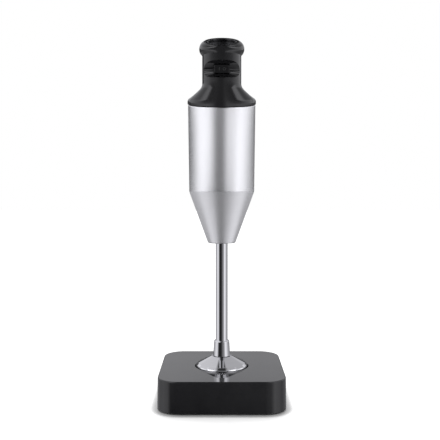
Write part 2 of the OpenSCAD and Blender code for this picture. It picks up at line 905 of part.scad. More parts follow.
module handle_cavity() {
    hull() {
        translate([0, 0, seam_z - 1]) rotate([seam_tilt, 0, 0])
            cylinder(r = lip_r - handle_wall, h = lip_h + 0.8, $fn = 48);
        translate([0, neck_y, seam_z + shoulder_h - 3.5]) cylinder(r = in_r, h = eps, $fn = 48);
    }
    intersection() {
        translate([0, neck_y, seam_z + shoulder_h - 4]) cylinder(r = in_r, h = neck_h + 60);
        below_top(-lid_t - ledge_t);
    }
}

// The finger recess, made larger by one wall for its inner face
module recess(grow) {
    translate([0, recess_floor_y + recess_floor_r, recess_mid_z]) rotate_extrude($fn = 128)
        translate([recess_floor_r + recess_tube_r, 0]) circle(recess_tube_r + grow, $fn = 64);
}

module screw_places() {
    both_sides(screw_x) {
        translate([0, 0, screw_low_z]) children();
        translate([0, 0, screw_high_z]) children();
    }
}

// Room for the lugs that stand between the two lower pairs of bosses
module lug_room(grow) {
    both_sides(screw_x)
        translate([-screw_boss_r - grow, parting_y - lug_t / 2 - grow, screw_low_z - far])
            cube([2 * (screw_boss_r + grow), lug_t + 2 * grow, far + screw_boss_r + grow]);
}

module lid_rebate() {
    intersection() {
        translate([0, lid_y, head_z]) cylinder(r = lid_r + fixed_gap, h = far);
        above_top(-lid_t);
    }
    intersection() {
        translate([0, lid_y, head_z]) cylinder(r = ledge_r, h = far);
        above_top(-lid_t - ledge_t - 1);
    }
}

module handle_front() {
    color("#2b2b2d") difference() {
        handle_form();
        difference() {
            handle_cavity();
            recess(handle_wall);
            difference() {
                screw_places() bar_y(screw_boss_r, form_front_y, parting_y);
                lug_room(fixed_gap);
            }
        }
        recess(0);
        translate([0, recess_floor_y - 2, button_z])
            rounded_bar(button_w + 2 * free_gap, button_h + 2 * free_gap, 1.5, 8);
        translate([0, flange_y - free_gap, button_z])
            rounded_bar(button_flange_w + 2 * free_gap, button_flange_h + 2 * free_gap, 1.3, 6);
        translate([-far / 2, parting_y - parting_gap / 2, 0]) cube([far, far, 2 * far]);
        screw_places() bar_y(screw_r - 0.2, parting_y - 9, parting_y + 1, $fn = 32);
        lid_rebate();
    }
}

gland_z = seam_z + 28.2;
gland_r = 5;
gland_flange_r = 8;
clamp_t = 4;
clamp_w = 14;
clamp_h = 13;
gland_in_y = max(neck_y + in_r - 4, board_y + board_t + clamp_t + 2 * free_gap);
gland_out_y = neck_y + neck_r + 6;
vent_w = 2.2;
vent_pitch = 6;
vent_length = 15;

module handle_rear() {
    color("#2b2b2d") difference() {
        handle_form();
        difference() {
            handle_cavity();
            difference() {
                screw_places() bar_y(screw_boss_r, parting_y, neck_y + neck_r);
                lug_room(fixed_gap);
            }
            for (z = board_post_z) translate([0, 0, z])
                bar_y(board_post_r, board_y + board_t, neck_y + neck_r);
        }
        translate([-far / 2, parting_y + parting_gap / 2 - far, 0]) cube([far, far, 2 * far]);
        screw_places() {
            bar_y(screw_r + fixed_gap, parting_y - 1, neck_y + neck_r + far, $fn = 32);
            bar_y(screw_head_r + fixed_gap, parting_y + 12, neck_y + neck_r + far, $fn = 32);
        }
        translate([0, 0, gland_z]) bar_y(gland_r + fixed_gap, gland_in_y - 5, gland_out_y, $fn = 64);
        for (i = [-2 : 2]) translate([i * vent_pitch - vent_w / 2, neck_y + neck_r + 6, seam_z])
            cube([vent_w, vent_length - abs(i) * 1.5, 40]);
        lid_rebate();
    }
}

module handle_screws() {
    color("#3a3a3c") screw_places() {
        bar_y(screw_r - 0.2 - running_gap, parting_y - 8, parting_y + 12, $fn = 32);
        bar_y(screw_head_r, parting_y + 12, parting_y + 14, $fn = 32);
    }
}

// The ring and deck that join the handle to the body, with two screw lugs
module handle_base() {
    ring_top = seam_z + 14;
    ring_out = body_sheet + 2 * fixed_gap;
    ring_wall = 2;
    spigot_r = (lip_r - handle_wall) * cos(seam_tilt) - 0.8;
    spigot_wall = 1.8;
    spigot_up = 1.2;
    hole_r = 3;
    color("#333436") difference() {
        union() {
            intersection() {
                difference() {
                    sleeve_form(ring_out, deck_z, ring_top);
                    sleeve_form(ring_out + ring_wall, deck_z + deck_t, ring_top + 1);
                }
                below_seam(-gasket_t);
            }
            intersection() {
                translate([0, 0, deck_z + deck_t - 1]) ring(spigot_r, spigot_r - spigot_wall, 30);
                below_seam(spigot_up);
            }
            both_sides(screw_x) translate([-screw_boss_r, parting_y - lug_t / 2, deck_z])
                cube([2 * screw_boss_r, lug_t, screw_low_z + screw_boss_r - deck_z]);
        }
        translate([0, 0, deck_z - 1]) cylinder(r = 9.5, h = 10);
        bolt_holes(deck_z - 1, 10);
        both_sides(screw_x) translate([0, 0, screw_low_z]) bar_y(screw_r + fixed_gap, -50, 50, $fn = 32);
        for (turn = [30, 60, 120, 150, 210, 240, 300, 330]) rotate(turn) translate([21, 0, deck_z - 1])
            cylinder(r = hole_r, h = deck_t + 2, $fn = 32);
    }
}

// ---------- Head ----------

module head_lid() {
    color("#1d1d1f") difference() {
        intersection() {
            translate([0, lid_y, head_z]) cylinder(r = lid_r, h = far);
            above_top(-lid_t);
            below_top(0);
        }
        on_top() {
            translate([0, 0, -pocket_depth]) cylinder(r = liner_r + liner_t + fixed_gap, h = pocket_depth + 1);
            translate([0, 0, -2 * lid_t]) cylinder(r = spindle_r + free_gap, h = 3 * lid_t);
        }
    }
}

module dial_ring() {
    color("#8e8f93") on_top() translate([0, 0, -pocket_depth]) ring(liner_r + liner_t, liner_r, pocket_depth);
}

module speed_dial() {
    flutes = 36;
    bevel = 0.3;
    dimple_r = 9;
    dimple_depth = 0.6;
    color("#77787c") on_top() translate([0, 0, -dial_sink - dial_t]) difference() {
        union() {
            cylinder(r = dial_fit_r, h = dial_t - bevel);
            translate([0, 0, dial_t - bevel]) cylinder(r1 = dial_fit_r, r2 = dial_fit_r - bevel, h = bevel);
        }
        for (i = [0 : flutes - 1]) rotate(360 * i / flutes) translate([dial_fit_r + 0.2, 0, -1])
            cylinder(r = 0.5, h = dial_t + 2, $fn = 16);
        translate([0, -dial_fit_r * 0.6, dial_t + dimple_r - dimple_depth]) sphere(r = dimple_r, $fn = 48);
        translate([0, 0, -1]) cylinder(r = spindle_r + running_gap, h = 1.5);
    }
}

pot_z = -lid_t * cos(top_tilt) - pot_h;

module dial_spindle() {
    color("#c0c2c6") on_top() translate([0, 0, pot_z + 2])
        cylinder(r = spindle_r, h = 0.45 - dial_sink - dial_t - pot_z - 2);
}

module potentiometer() {
    color("#5d6066") on_top() translate([0, 0, pot_z]) difference() {
        union() {
            cylinder(r = pot_r, h = pot_h);
            translate([-5, pot_r - 3, 1]) cube([10, 6, 1.5]);
        }
        translate([0, 0, 1.5]) cylinder(r = spindle_r + running_gap, h = pot_h);
    }
}

// ---------- Electrical parts in the neck ----------

board_w = 14;
board_low_z = seam_z + 2.2;
board_high_z = gland_z + 12;
board_post_r = 2.4;
board_post_z = [gland_z - 11.4, gland_z + 9.5];

module control_board() {
    color("#2f6b3c") difference() {
        translate([-board_w / 2, board_y, board_low_z]) cube([board_w, board_t, board_high_z - board_low_z]);
        for (z = board_post_z) translate([0, 0, z])
            bar_y(1.2, board_y - 1, board_y + board_t + 1, $fn = 24);
    }
}

switch_w = 12.8;
switch_h = 6.4;

module micro_switch() {
    color("#3b3d42") difference() {
        translate([-switch_w / 2, switch_y, button_z - switch_h / 2])
            cube([switch_w, board_y - switch_y, switch_h]);
        translate([0, 0, button_z]) bar_y(plunger_r + free_gap, switch_y - 1, switch_y + 4.6, $fn = 32);
    }
}

module capacitor() {
    cap_w = 13;
    cap_t = 7;
    color("#c8a24a") translate([-cap_w / 2, board_y - cap_t, board_low_z + 2]) cube([cap_w, cap_t, 11]);
}

module heat_sink() {
    sink_w = 12;
    sink_h = 9;
    fin_t = 1.2;
    color("#b8babe") translate([-sink_w / 2, board_y + board_t, board_low_z + 2]) {
        cube([sink_w, 2, sink_h]);
        for (x = [0 : (sink_w - fin_t) / 3 : sink_w]) translate([x, 1, 0]) cube([fin_t, 5, sink_h]);
    }
}

module cord_gland() {
    wall_y = neck_y + neck_r;
    color("#1f1f21") translate([0, 0, gland_z]) difference() {
        union() {
            bar_y(gland_r, gland_in_y, wall_y + 1);
            rotate([-90, 0, 0]) translate([0, 0, wall_y + free_gap])
                cylinder(r1 = gland_flange_r, r2 = gland_flange_r - 2, h = gland_out_y - wall_y - free_gap);
        }
        bar_y(cord_r, gland_in_y - 1, gland_out_y + 1, $fn = 96);
    }
}

module cord_clamp() {
    color("#3b3d42") translate([0, 0, gland_z]) difference() {
        translate([-clamp_w / 2, gland_in_y - free_gap - clamp_t, -clamp_h / 2]) cube([clamp_w, clamp_t, clamp_h]);
        bar_y(cord_r + 0.2, gland_in_y - clamp_t - 2, gland_in_y + 1, $fn = 64);
    }
}

module power_button() {
    face_y = recess_floor_y - button_proud;
    mark_x = 2.4;
    mark_h = 3;
    mark_proud = 0.3;
    color("#1b1b1d") translate([0, 0, button_z]) {
        translate([0, face_y, 0]) rounded_bar(button_w, button_h, 1.2, flange_y - face_y);
        translate([0, flange_y, 0]) rounded_bar(button_flange_w, button_flange_h, 1, flange_t);
        bar_y(stem_r, stem_y, switch_y - button_travel - free_gap, $fn = 48);
        bar_y(plunger_r, stem_y, switch_y + 2.5, $fn = 32);
        for (x = [-1, 1]) translate([x * mark_x, face_y - mark_proud, 0])
            rounded_bar(x < 0 ? 0.8 : mark_h, mark_h, 0.35, mark_proud + 0.2);
    }
}

module button_spring() {
    color("#b4b6ba") translate([0, stem_y + 0.1, button_z]) rotate([-90, 0, 0])
        coil(stem_r + 0.8, 0.3, switch_y - stem_y - 0.2, 4);
}

stand_shell();
stand_bottom_plate();
stand_ballast();
stand_feet();
stand_screws();
well_pad();
bell_guard();
tube_collar();
shaft_tube();
lower_bush();
upper_bush();
shaft_seal();
tube_flange();
tube_nut();
body_cone();
body_ring();
body_sleeve();
lower_mount();
lower_bracket();
bearing_outer_race();
bearing_balls();
stator_core();
field_coils();
upper_bracket();
upper_bush_motor();
brush_holders();
carbon_brushes();
brush_springs();
through_bolts();
upper_mount();
handle_base();
seam_gasket();
handle_front();
handle_rear();
handle_screws();
head_lid();
dial_ring();
cord_gland();
cord_clamp();
control_board();
capacitor();
heat_sink();
micro_switch();
potentiometer();
motor_shaft();
armature_core();
armature_windings();
commutator();
cooling_fan();
bearing_inner_race();
shaft_coupling();
coupling_pins();
drive_shaft();
blade_hub();
blade();
blade_nut();
speed_dial();
dial_spindle();
power_button();
button_spring();
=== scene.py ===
"""Looks of an immersion blender in its square stand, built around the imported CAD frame."""
import json
import math

import bmesh
import bpy
from mathutils import Matrix, Vector


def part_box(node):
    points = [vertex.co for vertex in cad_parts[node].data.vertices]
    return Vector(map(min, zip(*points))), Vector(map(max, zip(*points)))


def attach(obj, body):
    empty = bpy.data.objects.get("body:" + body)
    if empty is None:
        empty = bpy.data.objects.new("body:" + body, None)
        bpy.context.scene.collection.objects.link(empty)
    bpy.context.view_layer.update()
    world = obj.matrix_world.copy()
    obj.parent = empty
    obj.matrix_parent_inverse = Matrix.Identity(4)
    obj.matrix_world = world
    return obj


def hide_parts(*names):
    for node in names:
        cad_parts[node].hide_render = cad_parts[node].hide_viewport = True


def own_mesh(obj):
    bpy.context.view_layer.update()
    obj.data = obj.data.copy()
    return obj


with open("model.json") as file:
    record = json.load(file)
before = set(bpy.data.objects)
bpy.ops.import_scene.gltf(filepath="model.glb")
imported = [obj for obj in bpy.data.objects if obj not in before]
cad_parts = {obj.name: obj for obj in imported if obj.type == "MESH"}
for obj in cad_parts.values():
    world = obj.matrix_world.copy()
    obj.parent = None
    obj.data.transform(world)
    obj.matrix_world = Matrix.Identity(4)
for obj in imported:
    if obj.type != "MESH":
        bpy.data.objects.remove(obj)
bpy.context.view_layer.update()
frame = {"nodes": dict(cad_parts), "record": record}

MM = 0.001       # shapes are given in millimetres; camera, floor and light in metres
nodes = frame["nodes"]
record = frame["record"]
slots = {row["node"]: row["material_slot"] for row in record["subparts"]}
members = record["behaviour"]["bodies"]


# ---------------------------------------------------------------- camera

SENSOR = 36.0
LENS = 681.0 / 440.0 * SENSOR    # a focal length of 681 in a frame 440 wide
CAMERA_AT = (-0.0017, -0.676, 0.2065)
CAMERA_TILT = 2.56               # degrees below level


def add_camera():
    data = bpy.data.cameras.new("camera")
    data.sensor_width = SENSOR
    data.lens = LENS
    data.clip_start = 0.01
    data.clip_end = 50.0
    camera = bpy.data.objects.new("camera", data)
    camera.location = CAMERA_AT
    camera.rotation_euler = (math.radians(90 - CAMERA_TILT), 0, 0)
    bpy.context.scene.collection.objects.link(camera)
    bpy.context.scene.camera = camera


# ---------------------------------------------------------------- node helpers

class Tree:
    """A thin wrapper that adds and links shader nodes."""

    def __init__(self, tree):
        self.tree = tree
        tree.nodes.clear()

    def add(self, kind, inputs=None, **settings):
        node = self.tree.nodes.new(kind)
        for key, value in settings.items():
            setattr(node, key, value)
        for key, value in (inputs or {}).items():
            self.feed(node.inputs[key], value)
        return node

    def feed(self, socket, value):
        if isinstance(value, bpy.types.NodeSocket):
            self.tree.links.new(value, socket)
        elif isinstance(value, bpy.types.Node):
            self.tree.links.new(value.outputs[0], socket)
        else:
            socket.default_value = value

    def math(self, operation, a, b=0.0):
        return self.add("ShaderNodeMath", {0: a, 1: b}, operation=operation).outputs[0]

    def mix(self, factor, a, b):
        node = self.add("ShaderNodeMix", data_type="RGBA")
        self.feed(node.inputs[0], factor)
        self.feed(node.inputs[6], a)
        self.feed(node.inputs[7], b)
        return node.outputs[2]

    def span(self, value, from_low, from_high, to_low, to_high, smooth=False):
        node = self.add("ShaderNodeMapRange", {
            "Value": value, "From Min": from_low, "From Max": from_high,
            "To Min": to_low, "To Max": to_high})
        if smooth:
            node.interpolation_type = "SMOOTHSTEP"
        return node.outputs[0]

    def ramp(self, value, stops):
        node = self.add("ShaderNodeValToRGB", {0: value})
        ramp = node.color_ramp
        while len(ramp.elements) < len(stops):
            ramp.elements.new(0.5)
        for element, (place, shade) in zip(ramp.elements, stops):
            element.position = place
            element.color = (shade, shade, shade, 1)
        return node.outputs[0]

    def noise(self, vector, scale, detail=4.0, rough=0.55):
        return self.add("ShaderNodeTexNoise", {
            "Vector": vector, "Scale": scale, "Detail": detail, "Roughness": rough}).outputs[0]


# ---------------------------------------------------------------- world, lamp and floor

PEAK = 3.2                  # the ramps hold levels as parts of this
COOL = 1.035                # how much stronger blue is than red and green in what glossy rays meet
SKY_LOW_HIGH = (0.46, 0.96)     # level of the sky, from straight below to straight above
SKY_FRONT_BACK = (0.45, 1.55)   # factor on it, from the front to the back
LAMP_STRENGTH = 1.7
LAMP_WIDTH = 24.0           # degrees
LAMP_TILT = 25.0            # degrees from straight above towards the back
FLOOR_REACH = 6.0
FLOOR_DROP = 0.0002
FLOOR_GLOW = 0.5            # emission that only camera rays meet
SHADOW_REACH = 0.008        # how far the stand dims that emission
SHADOW_POWER = 8.0


def reflected(t, xyz):
    """What glossy rays meet: a pattern fitted to the reflections that the photograph shows."""
    forward = t.math("MULTIPLY", xyz.outputs[1], -1.0)
    share = t.span(t.math("ARCTAN2", xyz.outputs[0], forward), -math.pi, math.pi, 0.0, 1.0)
    rise = t.math("ARCSINE", xyz.outputs[2])
    side = t.span(xyz.outputs[0], -1, 1, 0, 1)

    def band(*stops):
        """Light round the horizon, as (degrees from the front, level)."""
        return t.ramp(share, [((degrees + 180) / 360, level / PEAK) for degrees, level in stops])

    def sideways(*stops):
        """Light from left to right, as (place from 0 to 1, level)."""
        return t.ramp(side, [(at, level / PEAK) for at, level in stops])

    def above(degrees, lower, upper, width):
        """The upper light above an elevation, the lower one below, with a soft edge of that width."""
        edge = math.radians(degrees)
        half = math.radians(width / 2)
        return t.mix(t.span(rise, edge - half, edge + half, 0.0, 1.0, True), lower, upper)

    under = band(
        (-180, 0.08), (-150, 0.1), (-128, 0.22), (-112, 0.39), (-98, 0.61), (-84, 0.8), (-66, 0.72),
        (-46, 0.62), (-36, 0.47), (-26, 0.24), (-15, 0.16), (2, 0.15), (12, 0.2), (22, 0.37), (31, 0.43),
        (41, 0.5), (52, 0.62), (74, 0.8), (96, 0.84), (112, 0.62), (128, 0.32), (150, 0.1), (180, 0.08))
    below = band(
        (-180, 0.3), (-115, 0.47), (-86, 0.9), (-62, 0.84), (-52, 0.4), (-44, 0.04), (-22, 0.015),
        (-4, 0.03), (15, 0.2), (34, 0.32), (44, 0.7), (54, 1.1), (76, 0.86), (102, 0.4), (180, 0.3))
    middle = band(
        (-180, 0.12), (-150, 0.12), (-128, 0.22), (-112, 0.42), (-98, 0.72), (-86, 1.05), (-72, 1.3),
        (-46, 1.55), (-34, 1.2), (-24, 0.5), (-15, 0.19), (2, 0.19), (8, 0.4), (20, 1.2), (34, 1.2),
        (48, 1.2), (60, 1.4), (76, 1.25), (90, 0.98), (106, 0.66), (126, 0.32), (150, 0.14), (180, 0.12))
    raised = band(
        (-180, 0.03), (-152, 0.03), (-140, 0.1), (-126, 0.95), (-100, 1.25), (-80, 1.15), (-66, 0.7),
        (-50, 0.45), (-32, 0.3), (10, 0.2), (28, 0.3), (48, 0.45), (62, 0.6), (75, 0.95), (92, 1.25),
        (128, 1.3), (142, 0.7), (154, 0.1), (180, 0.03))
    high_up = band(
        (-180, 0.62), (-160, 0.8), (-145, 0.85), (-126, 1.1), (-100, 1.25), (-80, 1.05), (-66, 0.5),
        (-52, 0.2), (48, 0.2), (60, 0.3), (75, 0.8), (92, 1.15), (128, 1.1), (145, 0.7), (160, 0.6),
        (180, 0.62))
    keys = band(
        (-180, 0.62), (-160, 0.8), (-145, 0.85), (-126, 1.1), (-100, 1.25), (-84, 1.4), (-66, 2.2),
        (-44, 2.2), (-22, 0.15), (28, 0.15), (50, 2.2), (74, 2.2), (94, 1.3), (128, 1.1), (145, 0.7),
        (160, 0.6), (180, 0.62))
    behind = sideways(
        (0.0, 0.8), (0.42, 0.74), (0.455, 0.05), (0.5, 0.015), (0.54, 0.05), (0.565, 0.53), (1.0, 0.53))
    dusk = sideways((0.0, 0.4), (0.34, 0.25), (0.42, 0.05), (0.58, 0.05), (0.66, 0.25), (1.0, 0.4))
    boxes = sideways(
        (0.0, 0.5), (0.1, 0.7), (0.17, 2.2), (0.31, 2.2), (0.36, 0.2), (0.42, 0.05), (0.58, 0.05),
        (0.63, 0.2), (0.69, 2.0), (0.83, 2.0), (0.9, 0.6), (1.0, 0.4))
    hood = sideways((0.0, 0.8), (0.34, 0.7), (0.415, 0.04), (0.585, 0.04), (0.65, 0.5), (1.0, 0.53))

    to_back = t.span(xyz.outputs[1], -0.15, 0.15, 0.0, 1.0, True)
    front = above(36, dusk, boxes, 5)
    overhead = above(52, t.mix(to_back, front, behind), t.mix(to_back, hood, behind), 6)
    light = under
    for degrees, upper, width in (
            (-24, below, 6), (-1.6, middle, 1.8), (8.0, raised, 1.4), (12.5, high_up, 3),
            (17.6, keys, 1.6), (27, overhead, 5)):
        light = above(degrees, light, upper, width)
    full = (PEAK, PEAK, PEAK * COOL)
    return t.add("ShaderNodeVectorMath", {0: light, 1: full}, operation="MULTIPLY").outputs[0]


def studio_world():
    """A soft sky for diffuse rays, white for the camera and the fitted pattern for glossy rays."""
    world = bpy.data.worlds.new("studio")
    bpy.context.scene.world = world
    world.use_nodes = True
    t = Tree(world.node_tree)
    place = t.add("ShaderNodeTexCoord").outputs["Generated"]
    xyz = t.add("ShaderNodeSeparateXYZ", {0: place})
    upward = t.span(xyz.outputs[2], -1.0, 1.0, *SKY_LOW_HIGH)
    soft = t.math("MULTIPLY", upward, t.span(xyz.outputs[1], -1, 1, *SKY_FRONT_BACK))
    plain = t.add("ShaderNodeCombineColor", {0: soft, 1: soft, 2: soft}).outputs[0]
    path = t.add("ShaderNodeLightPath")
    lit = t.mix(path.outputs["Is Glossy Ray"], plain, reflected(t, xyz))
    seen = t.mix(path.outputs["Is Camera Ray"], lit, (1, 1, 1, 1))
    back = t.add("ShaderNodeBackground", {"Color": seen, "Strength": 1.0})
    t.feed(t.add("ShaderNodeOutputWorld").inputs[0], back)
    world.cycles.sampling_method = "NONE"


def add_lamp():
    """A broad lamp high up at the back: it lays a shadow in front of the stand."""
    light = bpy.data.lights.new("back_lamp", "SUN")
    light.energy = LAMP_STRENGTH
    light.angle = math.radians(LAMP_WIDTH)
    lamp = bpy.data.objects.new("back_lamp", light)
    lamp.rotation_euler = (math.radians(-LAMP_TILT), 0, 0)
    lamp.visible_glossy = False
    bpy.context.scene.collection.objects.link(lamp)


def add_floor():
    """A pale floor. Its glow, which only camera rays meet, fades close to the stand."""
    mesh = bpy.data.meshes.new("floor")
    corners = [(x * FLOOR_REACH, y * FLOOR_REACH, 0) for x, y in ((-1, -1), (1, -1), (1, 1), (-1, 1))]
    mesh.from_pydata(corners, [], [(0, 1, 2, 3)])
    floor = bpy.data.objects.new("floor", mesh)
    floor.location.z = -FLOOR_DROP
    bpy.context.scene.collection.objects.link(floor)
    material = bpy.data.materials.new("floor_white")
    material.use_nodes = True
    t = Tree(material.node_tree)
    place = t.add("ShaderNodeTexCoord").outputs["Object"]
    grain = t.noise(place, 60.0, 3.0)
    shade = t.mix(t.span(grain, 0.3, 0.7, 0, 1), (0.58, 0.58, 0.585, 1), (0.61, 0.61, 0.61, 1))
    diffuse = t.add("ShaderNodeBsdfDiffuse", {"Color": shade})
    glow = t.add("ShaderNodeEmission", {"Color": (1, 1, 1, 1)})
    shadow = t.add("ShaderNodeAmbientOcclusion", {"Distance": SHADOW_REACH})
    shadow.samples = 12
    open_part = t.math("POWER", shadow.outputs["AO"], SHADOW_POWER)
    seen = t.math("MULTIPLY", t.add("ShaderNodeLightPath").outputs["Is Camera Ray"], FLOOR_GLOW)
    t.feed(glow.inputs[1], t.math("MULTIPLY", seen, open_part))
    both = t.add("ShaderNodeAddShader", {0: diffuse, 1: glow})
    t.feed(t.add("ShaderNodeOutputMaterial").inputs[0], both)
    mesh.materials.append(material)
    floor.visible_glossy = False


# ---------------------------------------------------------------- materials

def shader(name, color, rough, metal=0.0, specular=0.5):
    material = bpy.data.materials.new(name)
    material.use_nodes = True
    t = Tree(material.node_tree)
    bsdf = t.add("ShaderNodeBsdfPrincipled", {
        "Base Color": (*color, 1), "Roughness": rough, "Metallic": metal, "IOR": 1.5,
        "Specular IOR Level": specular})
    t.feed(t.add("ShaderNodeOutputMaterial").inputs[0], bsdf)
    place = t.add("ShaderNodeTexCoord").outputs["Object"]
    return material, t, bsdf, place


def tone(t, bsdf, value, dark, light):
    t.feed(bsdf.inputs["Base Color"], t.mix(t.span(value, 0.35, 0.65, 0, 1), (*dark, 1), (*light, 1)))


def gloss(t, bsdf, value, low, high):
    t.feed(bsdf.inputs["Roughness"], t.span(value, 0.3, 0.7, low, high))


def relief(t, bsdf, value, strength, distance):
    bump = t.add("ShaderNodeBump", {"Height": value, "Strength": strength, "Distance": distance})
    t.feed(bsdf.inputs["Normal"], bump)


def moulded(name, dark, light, low, high, grain, depth, specular=0.5):
    """Moulded plastic: fine grain in relief and roughness, soft patches in colour and roughness."""
    material, t, bsdf, place = shader(name, light, high, specular=specular)
    patches = t.noise(place, 35.0, 5.0, 0.6)
    fine = t.noise(place, grain, 3.0, 0.6)
    tone(t, bsdf, patches, dark, light)
    both = t.math("ADD", t.math("MULTIPLY", patches, 0.7), t.math("MULTIPLY", fine, 0.3))
    gloss(t, bsdf, both, low, high)
    relief(t, bsdf, fine, 0.35, depth)
    return material


def brushed(name, dark, light, low, high, lines=5200.0, depth=0.000012, axis="z", metal=1.0):
    """Turned or brushed metal: fine lines across an axis, with smudges."""
    material, t, bsdf, place = shader(name, light, high, metal=metal)
    scale = {"z": (30, 30, lines), "x": (lines, 30, 30)}[axis]
    stretched = t.add("ShaderNodeMapping", {"Vector": place, "Scale": scale}).outputs[0]
    grain = t.noise(stretched, 1.0, 2.0, 0.7)
    smudge = t.noise(place, 28.0, 4.0, 0.6)
    both = t.math("ADD", t.math("MULTIPLY", grain, 0.5), t.math("MULTIPLY", smudge, 0.5))
    tone(t, bsdf, both, dark, light)
    gloss(t, bsdf, both, low, high)
    relief(t, bsdf, grain, 0.25, depth)
    return material


def rubber(name):
    material, t, bsdf, place = shader(name, (0.02, 0.02, 0.02), 0.8, specular=0.3)
    fine = t.noise(place, 900.0, 2.0)
    tone(t, bsdf, t.noise(place, 60.0), (0.012, 0.012, 0.012), (0.024, 0.024, 0.023))
    gloss(t, bsdf, fine, 0.65, 0.9)
    relief(t, bsdf, fine, 0.4, 0.00008)
    return material


def make_materials():
    """One material for each slot and finish: darkest and lightest colour, least and most roughness."""
    made = {}
    for name, dark, light, low, high, grain, depth in (
            ("stand_gloss", (0.019, 0.019, 0.021), (0.025, 0.025, 0.027), 0.01, 0.035, 260.0, 0.000001),
            ("black_plastic", (0.016, 0.016, 0.017), (0.024, 0.024, 0.025), 0.45, 0.62, 1400.0, 0.00003),
            ("handle_black", (0.0085, 0.0085, 0.0095), (0.0115, 0.0115, 0.0125), 0.09, 0.13, 2300.0,
             0.000003),
            ("lid_gloss", (0.006, 0.006, 0.007), (0.008, 0.008, 0.009), 0.02, 0.05, 300.0, 0.000001),
            ("button_gloss", (0.004, 0.004, 0.005), (0.006, 0.006, 0.007), 0.10, 0.18, 500.0, 0.000006),
            ("mark_grey", (0.035, 0.035, 0.037), (0.05, 0.05, 0.052), 0.35, 0.5, 1500.0, 0.00001),
            ("screw_black", (0.02, 0.02, 0.02), (0.035, 0.035, 0.035), 0.3, 0.45, 800.0, 0.00002),
            ("carbon", (0.02, 0.02, 0.021), (0.04, 0.04, 0.041), 0.5, 0.7, 1500.0, 0.00004),
            ("board_green", (0.03, 0.14, 0.05), (0.05, 0.2, 0.08), 0.3, 0.45, 700.0, 0.00002),
            ("capacitor_yellow", (0.5, 0.34, 0.08), (0.62, 0.44, 0.1), 0.3, 0.45, 500.0, 0.00001)):
        made[name] = moulded(name, dark, light, low, high, grain, depth)
    made["dial_metal"] = moulded(
        "dial_metal", (0.005, 0.005, 0.006), (0.008, 0.008, 0.009), 0.12, 0.2, 900.0, 0.000001, specular=0.1)
    made["black_rubber"] = rubber("black_rubber")

    for name, dark, light, low, high, more in (
            ("sleeve_steel", (0.86, 0.86, 0.88), (0.91, 0.91, 0.93), 0.23, 0.28, {"metal": 0.87}),
            ("cone_steel", (0.83, 0.83, 0.85), (0.88, 0.88, 0.90), 0.26, 0.32, {"metal": 0.85}),
            ("tube_chrome", (0.72, 0.72, 0.74), (0.79, 0.79, 0.81), 0.03, 0.07, {"depth": 0.000001}),
            ("collar_steel", (0.72, 0.72, 0.74), (0.79, 0.79, 0.81), 0.03, 0.06, {"depth": 0.000001}),
            ("bell_steel", (0.66, 0.66, 0.68), (0.72, 0.72, 0.74), 0.02, 0.05, {"depth": 0.0000005}),
            ("hub_steel", (0.5, 0.5, 0.52), (0.58, 0.58, 0.6), 0.2, 0.3, {}),
            ("blade_steel", (0.62, 0.62, 0.64), (0.7, 0.7, 0.72), 0.15, 0.25, {"axis": "x"}),
            ("ring_metal", (0.11, 0.11, 0.115), (0.15, 0.15, 0.155), 0.08, 0.14, {}),
            ("pot_metal", (0.22, 0.23, 0.25), (0.3, 0.31, 0.33), 0.3, 0.45, {})):
        made[name] = brushed(name, dark, light, low, high, **more)
    for name, dark, light, low, high in (
            ("ballast_steel", (0.16, 0.16, 0.17), (0.24, 0.24, 0.25), 0.4, 0.6),
            ("screw_steel", (0.45, 0.45, 0.46), (0.55, 0.55, 0.56), 0.3, 0.45),
            ("cast_aluminium", (0.38, 0.39, 0.41), (0.5, 0.51, 0.53), 0.4, 0.6),
            ("bearing_steel", (0.52, 0.52, 0.54), (0.62, 0.62, 0.64), 0.15, 0.25),
            ("spring_steel", (0.5, 0.5, 0.52), (0.62, 0.62, 0.64), 0.2, 0.3),
            ("bronze", (0.40, 0.27, 0.13), (0.52, 0.35, 0.17), 0.35, 0.5),
            ("brass_sheet", (0.5, 0.38, 0.12), (0.62, 0.47, 0.16), 0.3, 0.45),
            ("copper_bars", (0.5, 0.24, 0.10), (0.64, 0.3, 0.13), 0.3, 0.42),
            ("copper_wire", (0.36, 0.13, 0.05), (0.52, 0.2, 0.08), 0.3, 0.45),
            ("lamination_steel", (0.09, 0.09, 0.10), (0.16, 0.16, 0.17), 0.4, 0.6)):
        made[name] = brushed(name, dark, light, low, high, lines=1600.0, depth=0.00003)
    return made


def paint(obj, material):
    obj.data.materials.clear()
    obj.data.materials.append(material)


# ---------------------------------------------------------------- shapes

def body_of(node):
    return next(body for body, group in members.items() if node in group)


def make(name, points, faces):
    """A closed mesh from points in millimetres, with its faces turned outwards."""
    mesh = bpy.data.meshes.new(name)
    mesh.from_pydata([[c * MM for c in p] for p in points], [], faces)
    work = bmesh.new()
    work.from_mesh(mesh)
    bmesh.ops.recalc_face_normals(work, faces=work.faces)
    work.to_mesh(mesh)
    work.free()
    obj = bpy.data.objects.new(name, mesh)
    bpy.context.scene.collection.objects.link(obj)
    return obj


def skin(name, rings, looped=False):
    """A skin over rings of equal length: closed at both ends, or joined into a tube wall."""
    count = len(rings[0])
    points = [p for ring in rings for p in ring]
    faces = []
    for k in range(len(rings) if looped else len(rings) - 1):
        a, b = k * count, (k + 1) % len(rings) * count
        for i in range(count):
            j = (i + 1) % count
            faces.append((a + i, a + j, b + j, b + i))
    if not looped:
        faces.append(tuple(range(count)))
        faces.append(tuple((len(rings) - 1) * count + i for i in range(count)))
    return make(name, points, faces)


def turns(steps):
    """Sine and cosine at even steps round a full turn."""
    angles = [2 * math.pi * i / steps for i in range(steps)]
    return [(math.sin(a), math.cos(a)) for a in angles]


